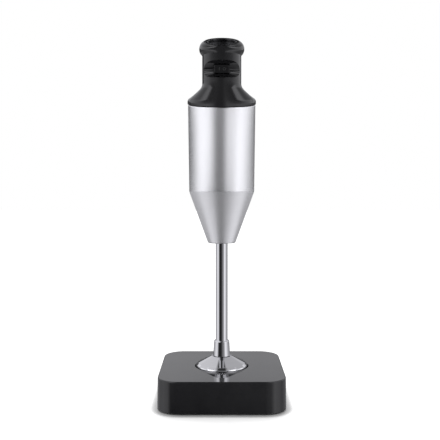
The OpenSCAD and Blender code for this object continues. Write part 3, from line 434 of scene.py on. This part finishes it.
def circle(radius, z, steps, x=0.0, y=0.0):
    """A level circle, starting at its front."""
    return [(x + radius * sine, y - radius * cosine, z) for sine, cosine in turns(steps)]


def quarter(parts):
    """1 - cosine and 1 - sine along a quarter turn, for rounding an edge."""
    angles = [math.radians(90 * k / parts) for k in range(parts + 1)]
    return [(1 - math.cos(a), 1 - math.sin(a)) for a in angles]


ARC_PARTS = 5


def rounded(outline):
    """A closed outline of corner points (r, z, radius), with each corner drawn as an arc."""
    result = []
    for i, (x, y, radius) in enumerate(outline):
        here = Vector((x, y))
        before = Vector(outline[i - 1][:2]) - here
        after = Vector(outline[(i + 1) % len(outline)][:2]) - here
        if radius <= 0:
            result.append((x, y))
            continue
        half = before.angle(after) / 2
        back = min(radius / math.tan(half), 0.49 * before.length, 0.49 * after.length)
        radius = back * math.tan(half)
        middle = here + (before.normalized() + after.normalized()).normalized() * (radius / math.sin(half))
        start = here + before.normalized() * back - middle
        end = here + after.normalized() * back - middle
        turn = start.angle_signed(end)
        for k in range(ARC_PARTS + 1):
            result.append(tuple(middle + Matrix.Rotation(-turn * k / ARC_PARTS, 2) @ start))
    return result


def lathe(name, outline, steps=160, place=None):
    """A form turned from a closed outline of (r, z, corner radius); one that meets the axis is solid."""
    flat = rounded(outline)
    if min(r for r, z in flat) > 1e-6:
        obj = skin(name, [circle(r, z, steps) for r, z in flat], looped=True)
    else:
        first = next(i for i in range(len(flat)) if flat[i][0] > 1e-6 and flat[i - 1][0] <= 1e-6)
        order = flat[first:] + flat[:first]
        obj = skin(name, [circle(r, z, steps) for r, z in order if r > 1e-6])
    if place is not None:
        obj.data.transform(place)
    return obj


def upright_circle(radius, y, x, z, steps):
    """A circle in the XZ plane."""
    return [(x + radius * sine, y, z + radius * cosine) for sine, cosine in turns(steps)]


def bar(name, radius, y0, y1, x, z, steps=64):
    """A round bar along Y."""
    return skin(name, [upright_circle(radius, y, x, z, steps) for y in (y0, y1)])


def block(name, first, last):
    """A box between two opposite corners."""
    (x0, y0, z0), (x1, y1, z1) = first, last
    return skin(name, [[(x0, y0, z), (x1, y0, z), (x1, y1, z), (x0, y1, z)] for z in (z0, z1)])


def plate_outline(width, height, radius, per_corner=8):
    """The corner points of a rounded rectangle round the origin, as pairs."""
    ring = []
    for q, (sx, sy) in enumerate(((1, 1), (-1, 1), (-1, -1), (1, -1))):
        for k in range(per_corner + 1):
            a = math.pi / 2 * (q + k / per_corner)
            ring.append((sx * (width / 2 - radius) + radius * math.cos(a),
                         sy * (height / 2 - radius) + radius * math.sin(a)))
    return ring


def combine(obj, others, operation="DIFFERENCE"):
    """Cuts or joins solids; the others are used up."""
    for other in others:
        step = obj.modifiers.new("step", "BOOLEAN")
        step.object = other
        step.operation = operation
        step.solver = "MANIFOLD"
    result = bpy.data.meshes.new_from_object(obj.evaluated_get(bpy.context.evaluated_depsgraph_get()))
    obj.modifiers.clear()
    old = obj.data
    obj.data = result
    result.name = obj.name
    bpy.data.meshes.remove(old)
    for other in others:
        waste = other.data
        bpy.data.objects.remove(other)
        bpy.data.meshes.remove(waste)
    return obj


def cut(obj, *others):
    return combine(obj, others)


def join(obj, *others):
    return combine(obj, others, "UNION")


SHARP_FROM = 32.0           # degrees
MERGE_WITHIN = 0.000002     # metres
SLIVER = 0.000001


def smooth(obj):
    """Smooth shading that keeps sharp edges crisp and flat faces flat."""
    mesh = obj.data
    mesh.shade_smooth()
    mesh.set_sharp_from_angle(angle=math.radians(SHARP_FROM))
    even = obj.modifiers.new("even", "WEIGHTED_NORMAL")
    even.keep_sharp = True
    even.weight = 80


def tidy(obj):
    """Merges the slivers that a cut leaves behind."""
    work = bmesh.new()
    work.from_mesh(obj.data)
    bmesh.ops.remove_doubles(work, verts=work.verts, dist=MERGE_WITHIN)
    bmesh.ops.dissolve_degenerate(work, edges=work.edges, dist=SLIVER)
    work.to_mesh(obj.data)
    work.free()


def stand_in(obj, node):
    """Puts a piece in the place of a CAD node: same body, same finish."""
    tidy(obj)
    smooth(obj)
    paint(obj, materials[slots[node]])
    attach(obj, body_of(node))
    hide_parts(node)
    return obj


def low(node):
    return [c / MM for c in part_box(node)[0]]


def high(node):
    return [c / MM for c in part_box(node)[1]]


def middle_z(node):
    return (low(node)[2] + high(node)[2]) / 2


def joint(name):
    return next(j for j in record["behaviour"]["joints"] if j["name"] == name)


# ---------------------------------------------------------------- places that several pieces share

GASKET = 0.5
SEAM_TILT = math.radians(11.5)
SEAM_Z = (low("seam_gasket")[2] + high("seam_gasket")[2] + GASKET) / 2
LIP_R = 33.7
NECK_R = 18.8
FRONT_Y = low("handle_front")[1]
PARTING_Y = FRONT_Y + NECK_R - 0.4
DIAL_AXIS = joint("speed_dial_turn")["axis"]
TOP_TILT = math.atan2(-DIAL_AXIS[1], DIAL_AXIS[2])
LID_Y = joint("speed_dial_turn")["pos_m"][1] / MM


# ---------------------------------------------------------------- stand

STAND_CORNER = 21.0
STAND_WALL = 2.6
STAND_DRAFT = 0.5
STAND_FOOT_EDGE = 0.3
STAND_TOP_EDGE = 1.1
WELL_GAP = 0.8
WELL_SLEEVE = 2.0           # wall round the well, inside the stand
SCREW_AT = 52.8
SCREW_POST_R = 3.6
SCREW_HOLE_R = 1.6
SCREW_HOLE_DEPTH = 13


def build_stand():
    half = high("stand_shell")[0]
    bottom, top = low("stand_shell")[2], high("stand_shell")[2]
    plate_top = high("stand_bottom_plate")[2]
    well = high("bell_guard")[0] + WELL_GAP
    floor = low("well_pad")[2]

    def ring(inset, z):
        draft = STAND_DRAFT * (z - bottom) / (top - bottom)
        size = 2 * (half - draft - inset)
        return [(x, y, z) for x, y in plate_outline(size, size, STAND_CORNER - draft - inset, 20)]

    rings = [ring(STAND_FOOT_EDGE * s, bottom + STAND_FOOT_EDGE * c) for c, s in quarter(4)]
    rings += [ring(STAND_TOP_EDGE * c, top - STAND_TOP_EDGE * s) for c, s in quarter(6)]
    shell = skin("stand_shell_visual", rings)
    room = skin("room", [ring(STAND_WALL, bottom - 1), ring(STAND_WALL, top - STAND_WALL)])
    sleeve = well + WELL_SLEEVE
    keep = [lathe("keep", [(0, plate_top, 0), (sleeve, plate_top, 0), (sleeve, top - 1, 0), (0, top - 1, 0)])]
    holes = []
    for x, y in ((SCREW_AT, 0), (0, SCREW_AT), (-SCREW_AT, 0), (0, -SCREW_AT)):
        keep.append(skin("keep", [circle(SCREW_POST_R, z, 32, x, y) for z in (plate_top, top - 1)]))
        ends = (plate_top - 1, plate_top + SCREW_HOLE_DEPTH)
        holes.append(skin("hole", [circle(SCREW_HOLE_R, z, 32, x, y) for z in ends]))
    cut(room, *keep)
    hollow = lathe("well", [
        (0, floor, 0), (well, floor, 1.0), (well, top - 0.5, 0.3), (well + 0.5, top, 0.3),
        (well + 1.5, top + 0.001, 0), (well + 1.5, top + 2, 0), (0, top + 2, 0)], 192)
    cut(shell, room, hollow, *holes)
    stand_in(shell, "stand_shell")


# ---------------------------------------------------------------- foot and body

TUBE_FIT = 0.03
TUBE_WALL = 1.0
BELL_WALL = 1.2
HUB_R = 8.6                 # the thick middle of the bell, which the tube goes through
GROOVE_R = 9.6
GROOVE_DEPTH = 2.6
ARCH_R = 6.5
ARCH_FOOT = 5.5             # height of the arch's straight sides
CONE_FOOT_R = 13.8
BODY_SHEET = 1.5
SLEEVE_FLARE = 1.05         # how much wider the sleeve gets over SLEEVE_H
SLEEVE_H = 86.2
SLEEVE_EDGE = 0.9


def build_foot():
    base, crown = low("bell_guard")[2], high("bell_guard")[2]
    rim = high("stand_shell")[2]
    skirt = high("bell_guard")[0]
    tube = high("shaft_tube")[0]
    groove = crown - GROOVE_DEPTH
    inside = HUB_R - 0.8
    bell = lathe("bell_visual", [
        (skirt - BELL_WALL, base, 0.35), (skirt, base, 0.5), (skirt, rim + 0.3, 0.6),
        (skirt - 0.35, rim + 1.3, 0.8), (skirt - 2.2, rim + 3.2, 1.3), (GROOVE_R + 0.3, crown - 0.2, 0.3),
        (GROOVE_R, crown - 0.35, 0.2), (GROOVE_R - 0.1, groove, 0.2), (tube + TUBE_FIT, groove, 0),
        (tube + TUBE_FIT, rim + 0.5, 0.2), (inside, rim + 0.5, 0.3), (inside, crown - 3.8, 0),
        (inside + 0.2, crown - 3.8, 0), (skirt - BELL_WALL - 0.6, rim - 0.3, 0.5),
        (skirt - BELL_WALL, rim - 1.2, 0.5)], 208)
    half_turn = [math.pi * k / 24 for k in range(25)]
    opening = [(-ARCH_R, base - 1)]
    opening += [(-ARCH_R * math.cos(a), base + ARCH_FOOT + ARCH_R * math.sin(a)) for a in half_turn]
    opening += [(ARCH_R, base - 1)]
    arches = []
    for q in range(4):
        arch = skin("arch", [[(x, y, z) for x, z in opening] for y in (-skirt - 2, 0)])
        arch.data.transform(Matrix.Rotation(math.radians(45 + 90 * q), 4, "Z"))
        arches.append(arch)
    cut(bell, *arches)
    stand_in(bell, "bell_guard")

    wide, top = high("tube_collar")[0], high("tube_collar")[2]
    stand_in(lathe("collar_visual", [
        (tube + TUBE_FIT, groove, 0.1), (wide - 0.8, groove, 0.3), (wide - 0.35, groove + GROOVE_DEPTH, 0.8),
        (tube + 1.65, top - 0.7, 0.5), (tube + 0.95, top, 0.3), (tube + TUBE_FIT, top, 0.15)], 128),
        "tube_collar")

    foot, top = low("shaft_tube")[2], high("shaft_tube")[2]
    bore = tube - TUBE_WALL
    stand_in(lathe("tube_visual", [
        (bore, foot, 0.2), (tube, foot, 0.3), (tube, top, 0.3), (bore, top, 0.2)], 128), "shaft_tube")


def build_cone():
    bore = high("shaft_tube")[0] + 0.1
    foot, crease = low("body_cone")[2], high("body_cone")[2]
    wide, narrow = high("body_cone")[0], CONE_FOOT_R
    sheet = BODY_SHEET * math.hypot(1, (wide - narrow) / (crease - foot))
    stand_in(lathe("cone_visual", [
        (bore, foot, 0.1), (narrow - 0.6, foot, 0.5), (narrow + 0.1, foot + 0.9, 0.7), (wide, crease, 0.25),
        (wide - sheet, crease, 0), (narrow - 1.02, foot + 1.6, 0.5), (bore, foot + 1.6, 0.1)], 208),
        "body_cone")


def build_sleeve():
    crease, wide = high("body_cone")[2], high("body_cone")[0]
    steps = 240

    def radius(z):
        return wide + SLEEVE_FLARE / SLEEVE_H * (z - crease)

    def level(inset, z):
        return circle(radius(z) - inset, z, steps)

    def slanted(inset, down, share=1.0):
        """A ring below the seam and parallel to it, or only a share of the way there from the crease."""
        result = []
        for sine, cosine in turns(steps):
            r = wide + SLEEVE_FLARE
            for _ in range(2):
                seam = SEAM_Z - GASKET - down - math.tan(SEAM_TILT) * r * cosine
                z = crease + (seam - crease) * share
                r = radius(z) - inset
            result.append((r * sine, -r * cosine, z))
        return result

    rings = [level(0.22, crease), level(0.06, crease + 0.06), level(0, crease + 0.22)]
    rings += [slanted(0, SLEEVE_EDGE, k / 24) for k in range(2, 24)]
    rings += [slanted(SLEEVE_EDGE * 0.9 * c, SLEEVE_EDGE * s) for c, s in quarter(7)]
    rings += [slanted(BODY_SHEET - 0.1, 0), slanted(BODY_SHEET, 0.1)]
    rings += [slanted(BODY_SHEET, 0.1, k / 8) for k in range(7, 0, -1)]
    rings += [level(BODY_SHEET, crease)]
    stand_in(skin("sleeve_visual", rings, looped=True), "body_sleeve")


# ---------------------------------------------------------------- handle

HANDLE_WALL = 2.2
LIP_EDGE = 0.3
LIP_H = 2.2                 # where the lip's round shoulder starts
LIP_ROUND = 4.2
NECK_FILLET = 6.0
SHOULDER_FALL = 34.0        # degrees
NECK_H = 26.3
HEAD_R = 21.8
HEAD_ROUND = 9.5
HEAD_FILLET = 1.0
HEAD_EDGE = 0.5
HEAD_END = 60.0             # degrees up the head's round form at which the flat top cuts it off
RECESS_DROP = 0.8           # how far the recess's middle lies below the button's
RECESS_DEPTH = 7.4
RECESS_Y = 16.2             # the recess is part of a ring round an upright axis here
RECESS_R = 50.133
RECESS_TUBE_R = 8.133
MOUTH_R = 58.43             # a wider ring that eases the recess's mouth
MOUTH_TUBE_R = 12.4
PARTING_GAP = 0.15
PARTING_GROOVE = 0.6
PARTING_DEPTH = 0.35
BOSS_R = 3.6
PILOT_R = 1.3
PILOT_DEPTH = 9
SCREW_R = 1.6
SCREW_HEAD_R = 2.6
SCREW_SEAT = 12             # from the parting plane to the seat of a screw's head
GLAND_HOLE_R = 5.1
BOARD_POST_R = 2.4
BOARD_POSTS_AT = (-11.4, 9.5)   # heights over the gland's middle
BOARD_T = 1.6
VENT_HALF_W = 1.1
VENT_STEP = 6.0
VENT_LENGTH = 15            # of the middle vent; each one further out is 1.5 shorter
LID_R = 16.25
LID_T = 5.2
REBATE_R = 16.35
LEDGE_R = 13.85
LEDGE_DROP = 8.0            # below the head's top, at the ledge's lower face
BORE_DROP = 7.0             # below the head's top, at the end of the neck's bore
BUTTON_W = 14.3
BUTTON_H = 8.4
BUTTON_CORNER = 1.2


def handle_sections():
    """Sections (radius, height, slope, y where that height holds) from the seam to the head's top."""
    turn = math.pi / 2 - math.radians(SHOULDER_FALL)
    rounds = LIP_ROUND + NECK_FILLET
    reach = LIP_R - NECK_R - rounds * (1 - math.cos(turn))
    shoulder = LIP_H + rounds * math.sin(turn) + reach * math.tan(math.radians(SHOULDER_FALL))

    def slant(r):
        return math.tan(SEAM_TILT) * (r - NECK_R) / (LIP_R - NECK_R)

    rows = [(LIP_R - LIP_EDGE * s, LIP_EDGE * c) for c, s in quarter(3)]
    for k in range(13):
        a = turn * k / 12
        rows.append((LIP_R - LIP_ROUND * (1 - math.cos(a)), LIP_H + LIP_ROUND * math.sin(a)))
    fillet = []
    for k in range(17):
        a = turn * (1 - k / 16)
        fillet.append((NECK_R + NECK_FILLET * (1 - math.cos(a)), shoulder - NECK_FILLET * math.sin(a)))
    (r0, h0), (r1, h1) = rows[-1], fillet[0]
    rows += [(r0 + (r1 - r0) * k / 6, h0 + (h1 - h0) * k / 6) for k in range(1, 6)] + fillet
    sections = [(r, SEAM_Z + h, slant(r), 0.0) for r, h in rows]
    sections += [(NECK_R, SEAM_Z + shoulder + NECK_H * k / 12, 0.0, 0.0) for k in range(1, 12)]

    start = math.acos(1 - (HEAD_R - NECK_R) / (HEAD_ROUND + HEAD_FILLET))
    middle = (HEAD_FILLET + HEAD_ROUND) * math.sin(start)
    full = middle + HEAD_ROUND * math.sin(math.radians(HEAD_END))
    end = math.asin((full - HEAD_EDGE - middle) / (HEAD_ROUND - HEAD_EDGE))
    centre = HEAD_R - HEAD_ROUND + (HEAD_ROUND - HEAD_EDGE) * math.cos(end)
    rows = []
    for k in range(6):
        a = start * k / 5
        rows.append((NECK_R + HEAD_FILLET * (1 - math.cos(a)), HEAD_FILLET * math.sin(a)))
    for k in range(1, 29):
        a = -start + (end + start) * k / 28
        rows.append((HEAD_R - HEAD_ROUND * (1 - math.cos(a)), middle + HEAD_ROUND * math.sin(a)))
    for k in range(1, 6):
        a = end + (math.pi / 2 - end) * k / 5
        rows.append((centre + HEAD_EDGE * math.cos(a), full - HEAD_EDGE + HEAD_EDGE * math.sin(a)))
    head_z = SEAM_Z + shoulder + NECK_H
    top_y = FRONT_Y + HEAD_R
    sections += [(r, head_z + h, math.tan(TOP_TILT) * h / full, top_y) for r, h in rows]
    return sections, head_z + full, top_y, SEAM_Z + shoulder


TOP_Z, TOP_Y, SHOULDER_Z = handle_sections()[1:]


def handle_skin(name, inset=0.0, grow=0.0, steps=240):
    """The handle's outer form, made narrower by inset and longer at both ends by grow."""
    sections = handle_sections()[0]
    if grow:
        r, z, slope, y0 = sections[0]
        sections = [(r, z - grow, slope, y0)] + sections
    rings = []
    for r, z, slope, y0 in sections:
        ring = []
        for sine, cosine in turns(steps):
            y = FRONT_Y + r - (r - inset) * cosine
            ring.append(((r - inset) * sine, y, z + slope * (y - y0)))
        rings.append(ring)
    if grow:
        rings.append([(x, y, z + grow) for x, y, z in rings[-1]])
    return skin(name, rings)


def torus(name, centre_r, tube_r, z, steps=256, around=96):
    """The front part of a ring round the recess's upright axis."""
    rings = []
    for k in range(steps + 1):
        a = math.radians(-40 + 80 * k / steps)
        ring = []
        for sine, cosine in turns(around):
            r = centre_r + tube_r * cosine
            ring.append((r * math.sin(a), RECESS_Y - r * math.cos(a), z + tube_r * sine))
        rings.append(ring)
    return skin(name, rings)


def plane_z(y, drop):
    """The height of the head's slanting top at y, less drop."""
    return TOP_Z - drop + math.tan(TOP_TILT) * (y - TOP_Y)


def plan_ring(radius, drop):
    """A circle seen from above that lies on the slanting top, or below it by drop."""
    return [(x, y, plane_z(y, drop)) for x, y, _ in circle(radius, 0, 160, 0, LID_Y)]


def handle_slab(name, y0, y1):
    """A block between two planes that is wider and taller than the handle."""
    return block(name, (-60, y0, SEAM_Z - 20), (60, y1, TOP_Z + 30))


def handle_room():
    """The space inside both shells: a tapering hollow below and an upright bore above."""
    foot_r = LIP_R - HANDLE_WALL
    bore = NECK_R - HANDLE_WALL
    neck_y = FRONT_Y + NECK_R
    rings = []
    for lift in (0.0, 3.0):
        tilted = [Matrix.Rotation(SEAM_TILT, 3, "X") @ Vector(p) for p in circle(foot_r, lift, 96)]
        rings.append([(p.x, p.y, p.z + SEAM_Z - 1) for p in tilted])
    rings.append(circle(bore, SHOULDER_Z - 3.5, 96, 0, neck_y))
    rings.append([(x, y, plane_z(y, BORE_DROP)) for x, y, _ in circle(bore, 0, 96, 0, neck_y)])
    return skin("room", rings)


def handle_shell(name):
    """The whole outer form with the parting groove and the seat of the lid."""
    half = PARTING_GROOVE / 2
    groove = cut(handle_slab("groove", PARTING_Y - half, PARTING_Y + half),
                 handle_skin("core", inset=PARTING_DEPTH, grow=5.0, steps=120))
    outer = cut(handle_skin(name), groove)
    rebate = skin("rebate", [plan_ring(REBATE_R, LID_T), plan_ring(REBATE_R, -3.0)])
    ledge = skin("ledge", [plan_ring(LEDGE_R, LEDGE_DROP), plan_ring(LEDGE_R, 3.0)])
    return cut(outer, rebate, ledge)


def screw_places():
    """The handle's screws, as (x, z)."""
    lo, hi = low("handle_screws"), high("handle_screws")
    x = hi[0] - SCREW_HEAD_R
    return [(side * x, z) for side in (-1, 1) for z in (lo[2] + SCREW_HEAD_R, hi[2] - SCREW_HEAD_R)]


def build_front():
    front = handle_shell("handle_front_visual")
    button_z = middle_z("power_button")
    recess_z = button_z - RECESS_DROP
    floor_y = FRONT_Y + RECESS_DEPTH
    room = handle_room()
    keep = [torus("keep", RECESS_R, RECESS_TUBE_R + HANDLE_WALL, recess_z, 96, 64)]
    keep += [bar("keep", BOSS_R, FRONT_Y, PARTING_Y + 1, x, z) for x, z in screw_places()]
    cut(room, *keep)

    def mouth(grow, corner, sink):
        """The button's outline laid on the recess's wall, grown, and sunk below the wall."""
        ring = []
        for x, z in plate_outline(BUTTON_W + grow, BUTTON_H + grow, corner):
            reach = RECESS_R - math.sqrt(RECESS_TUBE_R ** 2 - (z + button_z - recess_z) ** 2)
            ring.append((x, RECESS_Y - math.sqrt(reach ** 2 - x * x) + sink, z + button_z))
        return ring

    hole = [mouth(2.4, 2.1, -1.2), mouth(1.3, 1.8, -0.02), mouth(0.75, 1.55, 0.22), mouth(0.6, 1.5, 0.6)]
    hole.append([(x, floor_y + 6, z) for x, _, z in hole[-1]])
    flange = [(x, z + button_z) for x, z in plate_outline(BUTTON_W + 3, BUTTON_H + 2.6, 1.3)]
    tools = [room, torus("recess", RECESS_R, RECESS_TUBE_R, recess_z),
             torus("edge", MOUTH_R, MOUTH_TUBE_R, recess_z),
             handle_slab("behind", PARTING_Y - PARTING_GAP / 2, 80),
             skin("button_hole", hole),
             skin("flange_room", [
                 [(x, y, z) for x, z in flange] for y in (floor_y + HANDLE_WALL, floor_y + 9)])]
    tools += [bar("pilot", PILOT_R, PARTING_Y - PILOT_DEPTH, PARTING_Y + 1, x, z, 32)
              for x, z in screw_places()]
    cut(front, *tools)
    stand_in(front, "handle_front")


def build_rear():
    rear = handle_shell("handle_rear_visual")
    back_y = FRONT_Y + 2 * NECK_R
    gland_z = middle_z("cord_gland")
    board_y = low("control_board")[1] + BOARD_T
    room = handle_room()
    keep = [bar("keep", BOSS_R, PARTING_Y - 1, back_y, x, z) for x, z in screw_places()]
    keep += [bar("keep", BOARD_POST_R, board_y, back_y, 0, gland_z + dz) for dz in BOARD_POSTS_AT]
    cut(room, *keep)
    tools = [room, handle_slab("ahead", -80, PARTING_Y + PARTING_GAP / 2)]
    for x, z in screw_places():
        tools.append(bar("hole", SCREW_R, PARTING_Y - 1, back_y + 20, x, z, 32))
        tools.append(bar("bore", SCREW_HEAD_R + 0.1, PARTING_Y + SCREW_SEAT, back_y + 20, x, z, 48))
    tools.append(bar("gland_hole", GLAND_HOLE_R, back_y - 20, back_y + 20, 0, gland_z))
    first = back_y + 6 + VENT_HALF_W
    for i in range(-2, 3):
        last = back_y + 6 + VENT_LENGTH - abs(i) * 1.5 - VENT_HALF_W
        slot = []
        for q, y in ((0, last), (1, first)):
            for k in range(9):
                a = math.pi * (q + k / 8)
                slot.append((i * VENT_STEP + VENT_HALF_W * math.cos(a), y + VENT_HALF_W * math.sin(a)))
        tools.append(skin("vent", [[(x, y, z) for x, y in slot] for z in (SEAM_Z, SEAM_Z + 40)]))
    cut(rear, *tools)
    stand_in(rear, "handle_rear")


# ---------------------------------------------------------------- lid and dial

POCKET_R = 14.0
POCKET_DEPTH = 3.8
SPINDLE_HOLE_R = 3.3
LINER_R = 13.9
LINER_T = 0.7
DIAL_R = 12.9
DIAL_TOP = -2.2             # below the head's top
DIAL_H = 1.3
DIAL_SOCKET_R = 3.03
FLUTES = 36
FLUTE_DEPTH = 0.28
DISH = 0.25                 # depth of the dial's face below its rim
DIMPLE_AT = 7.74
DIMPLE_R = 9
DIMPLE_DEPTH = 0.65         # below the rim


def on_top():
    """The frame of the dial: origin on the head's top, Z along the dial's axis."""
    return Matrix.Translation((0, LID_Y * MM, plane_z(LID_Y, 0) * MM)) @ Matrix.Rotation(TOP_TILT, 4, "X")


def build_lid():
    edge = 0.4
    flat = 12.0             # radius of the flat middle of both faces
    rings = [plan_ring(flat, LID_T), plan_ring(LID_R - 0.2, LID_T), plan_ring(LID_R, LID_T - 0.2)]
    rings += [plan_ring(LID_R - edge * c, edge * s) for c, s in quarter(5)]
    rings.append(plan_ring(flat, 0))
    lid = skin("lid_visual", rings)
    pocket = lathe("pocket", [
        (0, -POCKET_DEPTH, 0), (POCKET_R, -POCKET_DEPTH, 0), (POCKET_R, -0.25, 0.2), (POCKET_R + 0.4, 0.1, 0),
        (POCKET_R + 0.4, 3, 0), (0, 3, 0)], 192, on_top())
    hole = lathe("hole", [
        (0, -12, 0), (SPINDLE_HOLE_R, -12, 0), (SPINDLE_HOLE_R, 3, 0), (0, 3, 0)], 64, on_top())
    stand_in(cut(lid, pocket, hole), "head_lid")

    inner = LINER_R - LINER_T
    liner = lathe("liner_visual", [
        (inner, -POCKET_DEPTH, 0), (LINER_R, -POCKET_DEPTH, 0), (LINER_R, 0, 0.2), (inner, 0, 0.25)],
        192, on_top())
    stand_in(liner, "dial_ring")


def build_dial():
    """The dial: fluted edge, dished face and a finger dimple."""
    bottom, top = DIAL_TOP - DIAL_H, DIAL_TOP
    outline = [(0.25, bottom), (0.0, bottom + 0.25), (0.0, top - 0.35), (0.1, top - 0.12), (0.35, top),
               (1.3, top), (1.6, top - 0.06), (1.9, top - 0.2), (2.3, top - DISH)]
    steps = FLUTES * 10
    rings = []
    for inset, z in outline:
        depth = FLUTE_DEPTH if inset < 0.3 else 0
        ring = []
        for i, (sine, cosine) in enumerate(turns(steps)):
            wave = max(0.0, math.cos(FLUTES * 2 * math.pi * i / steps))
            r = DIAL_R - inset - depth * wave ** 2
            ring.append((r * sine, -r * cosine, z))
        rings.append(ring)
    for r in (8.0, 4.0, 1.0):
        rings.append(circle(r, top - DISH - 0.05 * (1 - r / 8), steps))
    dial = skin("dial_visual", rings)
    ball = []
    for k in range(1, 24):
        b = math.pi * k / 24
        z = top - DIMPLE_DEPTH + DIMPLE_R * (1 - math.cos(b))
        ball.append(circle(DIMPLE_R * math.sin(b), z, 64, 0, -DIMPLE_AT))
    socket = skin("socket", [circle(DIAL_SOCKET_R, z, 64) for z in (bottom - 1, bottom + 0.5)])
    cut(dial, skin("dimple", ball), socket)
    dial.data.transform(on_top())
    stand_in(dial, "speed_dial")


# ---------------------------------------------------------------- button

BUTTON_EDGE = 0.55
MARK_H = 0.3                # how far the marks stand out of the button's face
FLANGE_BACK = 3.5           # from the button's face to its flange
FLANGE_T = 1.5
STEM_R = 2.0
STEM_H = 2.2
PLUNGER_R = 1.2
MARK_AT = 2.4               # from the button's middle to each mark's
WIRE_R = 0.3
COILS = 4


def build_button():
    lo, hi = low("power_button"), high("power_button")
    z = middle_z("power_button")
    face = lo[1] + MARK_H
    flange_y = face + FLANGE_BACK

    def plate(width, height, corner, y, x=0.0):
        return [(px + x, y, pz + z) for px, pz in plate_outline(width, height, corner)]

    rings = [plate(BUTTON_W - 2 * BUTTON_EDGE * s, BUTTON_H - 2 * BUTTON_EDGE * s, BUTTON_CORNER,
                   face + BUTTON_EDGE * c) for c, s in quarter(6)]
    rings.append(plate(BUTTON_W, BUTTON_H, BUTTON_CORNER, flange_y + 0.5))
    key = skin("button_visual", rings)
    flange = skin("flange", [
        plate(BUTTON_W + 2.4, BUTTON_H + 2, 1.0, y) for y in (flange_y, flange_y + FLANGE_T)])
    stem = bar("stem", STEM_R, flange_y + 1, flange_y + FLANGE_T + STEM_H, 0, z, 48)
    plunger = bar("plunger", PLUNGER_R, flange_y + 1, hi[1], 0, z, 32)
    join(key, flange, stem, plunger)
    stand_in(key, "power_button")

    stroke = skin("button_stroke", [plate(0.8, 3.0, 0.35, y, -MARK_AT) for y in (lo[1], face + 0.1)])
    ring = [upright_circle(r, y, MARK_AT, z, 64) for r, y in (
        (1.5, face + 0.1), (1.5, lo[1] + 0.08), (1.42, lo[1]), (0.98, lo[1]), (0.9, lo[1] + 0.08),
        (0.9, face + 0.1))]
    for mark in (stroke, skin("button_circle", ring, looped=True)):
        smooth(mark)
        paint(mark, materials["mark_grey"])
        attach(mark, body_of("power_button"))


def build_spring():
    """The coil behind the button, built at the length of its CAD node."""
    lo, hi = low("button_spring"), high("button_spring")
    mean = hi[0] - WIRE_R
    z = middle_z("button_spring")
    steps = 48
    last = COILS * steps
    rings = []
    for k in range(last + 1):
        a = 2 * math.pi * k / steps
        along = lo[1] + WIRE_R + (hi[1] - lo[1] - 2 * WIRE_R) * k / last
        ring = []
        for sine, cosine in turns(12):
            r = mean + WIRE_R * cosine
            ring.append((r * math.cos(a), along + WIRE_R * sine, z + r * math.sin(a)))
        rings.append(ring)
    spring = stand_in(skin("spring_visual", rings), "button_spring")
    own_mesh(spring)


# ---------------------------------------------------------------- back

GLAND_BORE_R = 3.5
GLAND_NECK_R = 5.0
GLAND_R = 8.0
GLAND_TAPER = 0.3           # radius lost for each millimetre along
RIB_W = 1.1
RIB_GAP = 0.8
RIB_DEPTH = 0.8
SHANK_R = 1.27
SCREW_HEAD_T = 2
CROSS = (1.6, 0.3)          # half length and half width of the cross cut in a screw's head
CROSS_DEPTH = 0.9


def along_y(x, z):
    """Turns a lathed piece's axis to Y and puts it at x and z."""
    return Matrix.Translation((x * MM, 0, z * MM)) @ Matrix.Rotation(-math.pi / 2, 4, "X")


def build_gland():
    lo, hi = low("cord_gland"), high("cord_gland")
    wall = FRONT_Y + 2 * NECK_R

    def radius(y):
        return GLAND_R - GLAND_TAPER * (y - wall)

    y = wall + 0.3
    outline = [(GLAND_BORE_R, lo[1], 0.3), (GLAND_NECK_R, lo[1], 0.3), (GLAND_NECK_R, y, 0),
               (GLAND_R, y, 0.3)]
    while y < hi[1] - 2.2:
        y += RIB_W
        inner = radius(y) - RIB_DEPTH
        outline += [(radius(y), y, 0.2), (inner, y + 0.2, 0.15), (inner, y + RIB_GAP - 0.2, 0.15),
                    (radius(y + RIB_GAP), y + RIB_GAP, 0.2)]
        y += RIB_GAP
    outline += [(radius(hi[1]), hi[1], 0.5), (4.2, hi[1], 0.3), (GLAND_BORE_R, hi[1] - 0.7, 0.2)]
    stand_in(lathe("gland_visual", outline, 128, along_y(0, middle_z("cord_gland"))), "cord_gland")


def build_screws():
    tip, top = low("handle_screws")[1], high("handle_screws")[1]
    under = top - SCREW_HEAD_T
    parts = []
    for x, z in screw_places():
        screw = lathe("screw", [
            (0, tip, 0), (SHANK_R, tip, 0.4), (SHANK_R, under, 0), (SCREW_HEAD_R, under, 0.1),
            (SCREW_HEAD_R, top, 0.8), (0, top, 0)], 48)
        cut(screw, *[block("slot", (-a, -b, top - CROSS_DEPTH), (a, b, top + 1))
                     for a, b in (CROSS, CROSS[::-1])])
        screw.data.transform(along_y(x, z))
        parts.append(screw)
    screws = join(parts[0], *parts[1:])
    screws.name = "screws_visual"
    stand_in(screws, "handle_screws")


# ---------------------------------------------------------------- run

add_camera()
studio_world()
add_lamp()
add_floor()
materials = make_materials()
for build in (build_stand, build_foot, build_cone, build_sleeve, build_front, build_rear, build_lid,
              build_dial, build_button, build_spring, build_gland, build_screws):
    build()
for name, obj in nodes.items():
    paint(obj, materials[slots[name]])
    smooth(obj)

scene = bpy.context.scene
scene.view_settings.view_transform = "Standard"
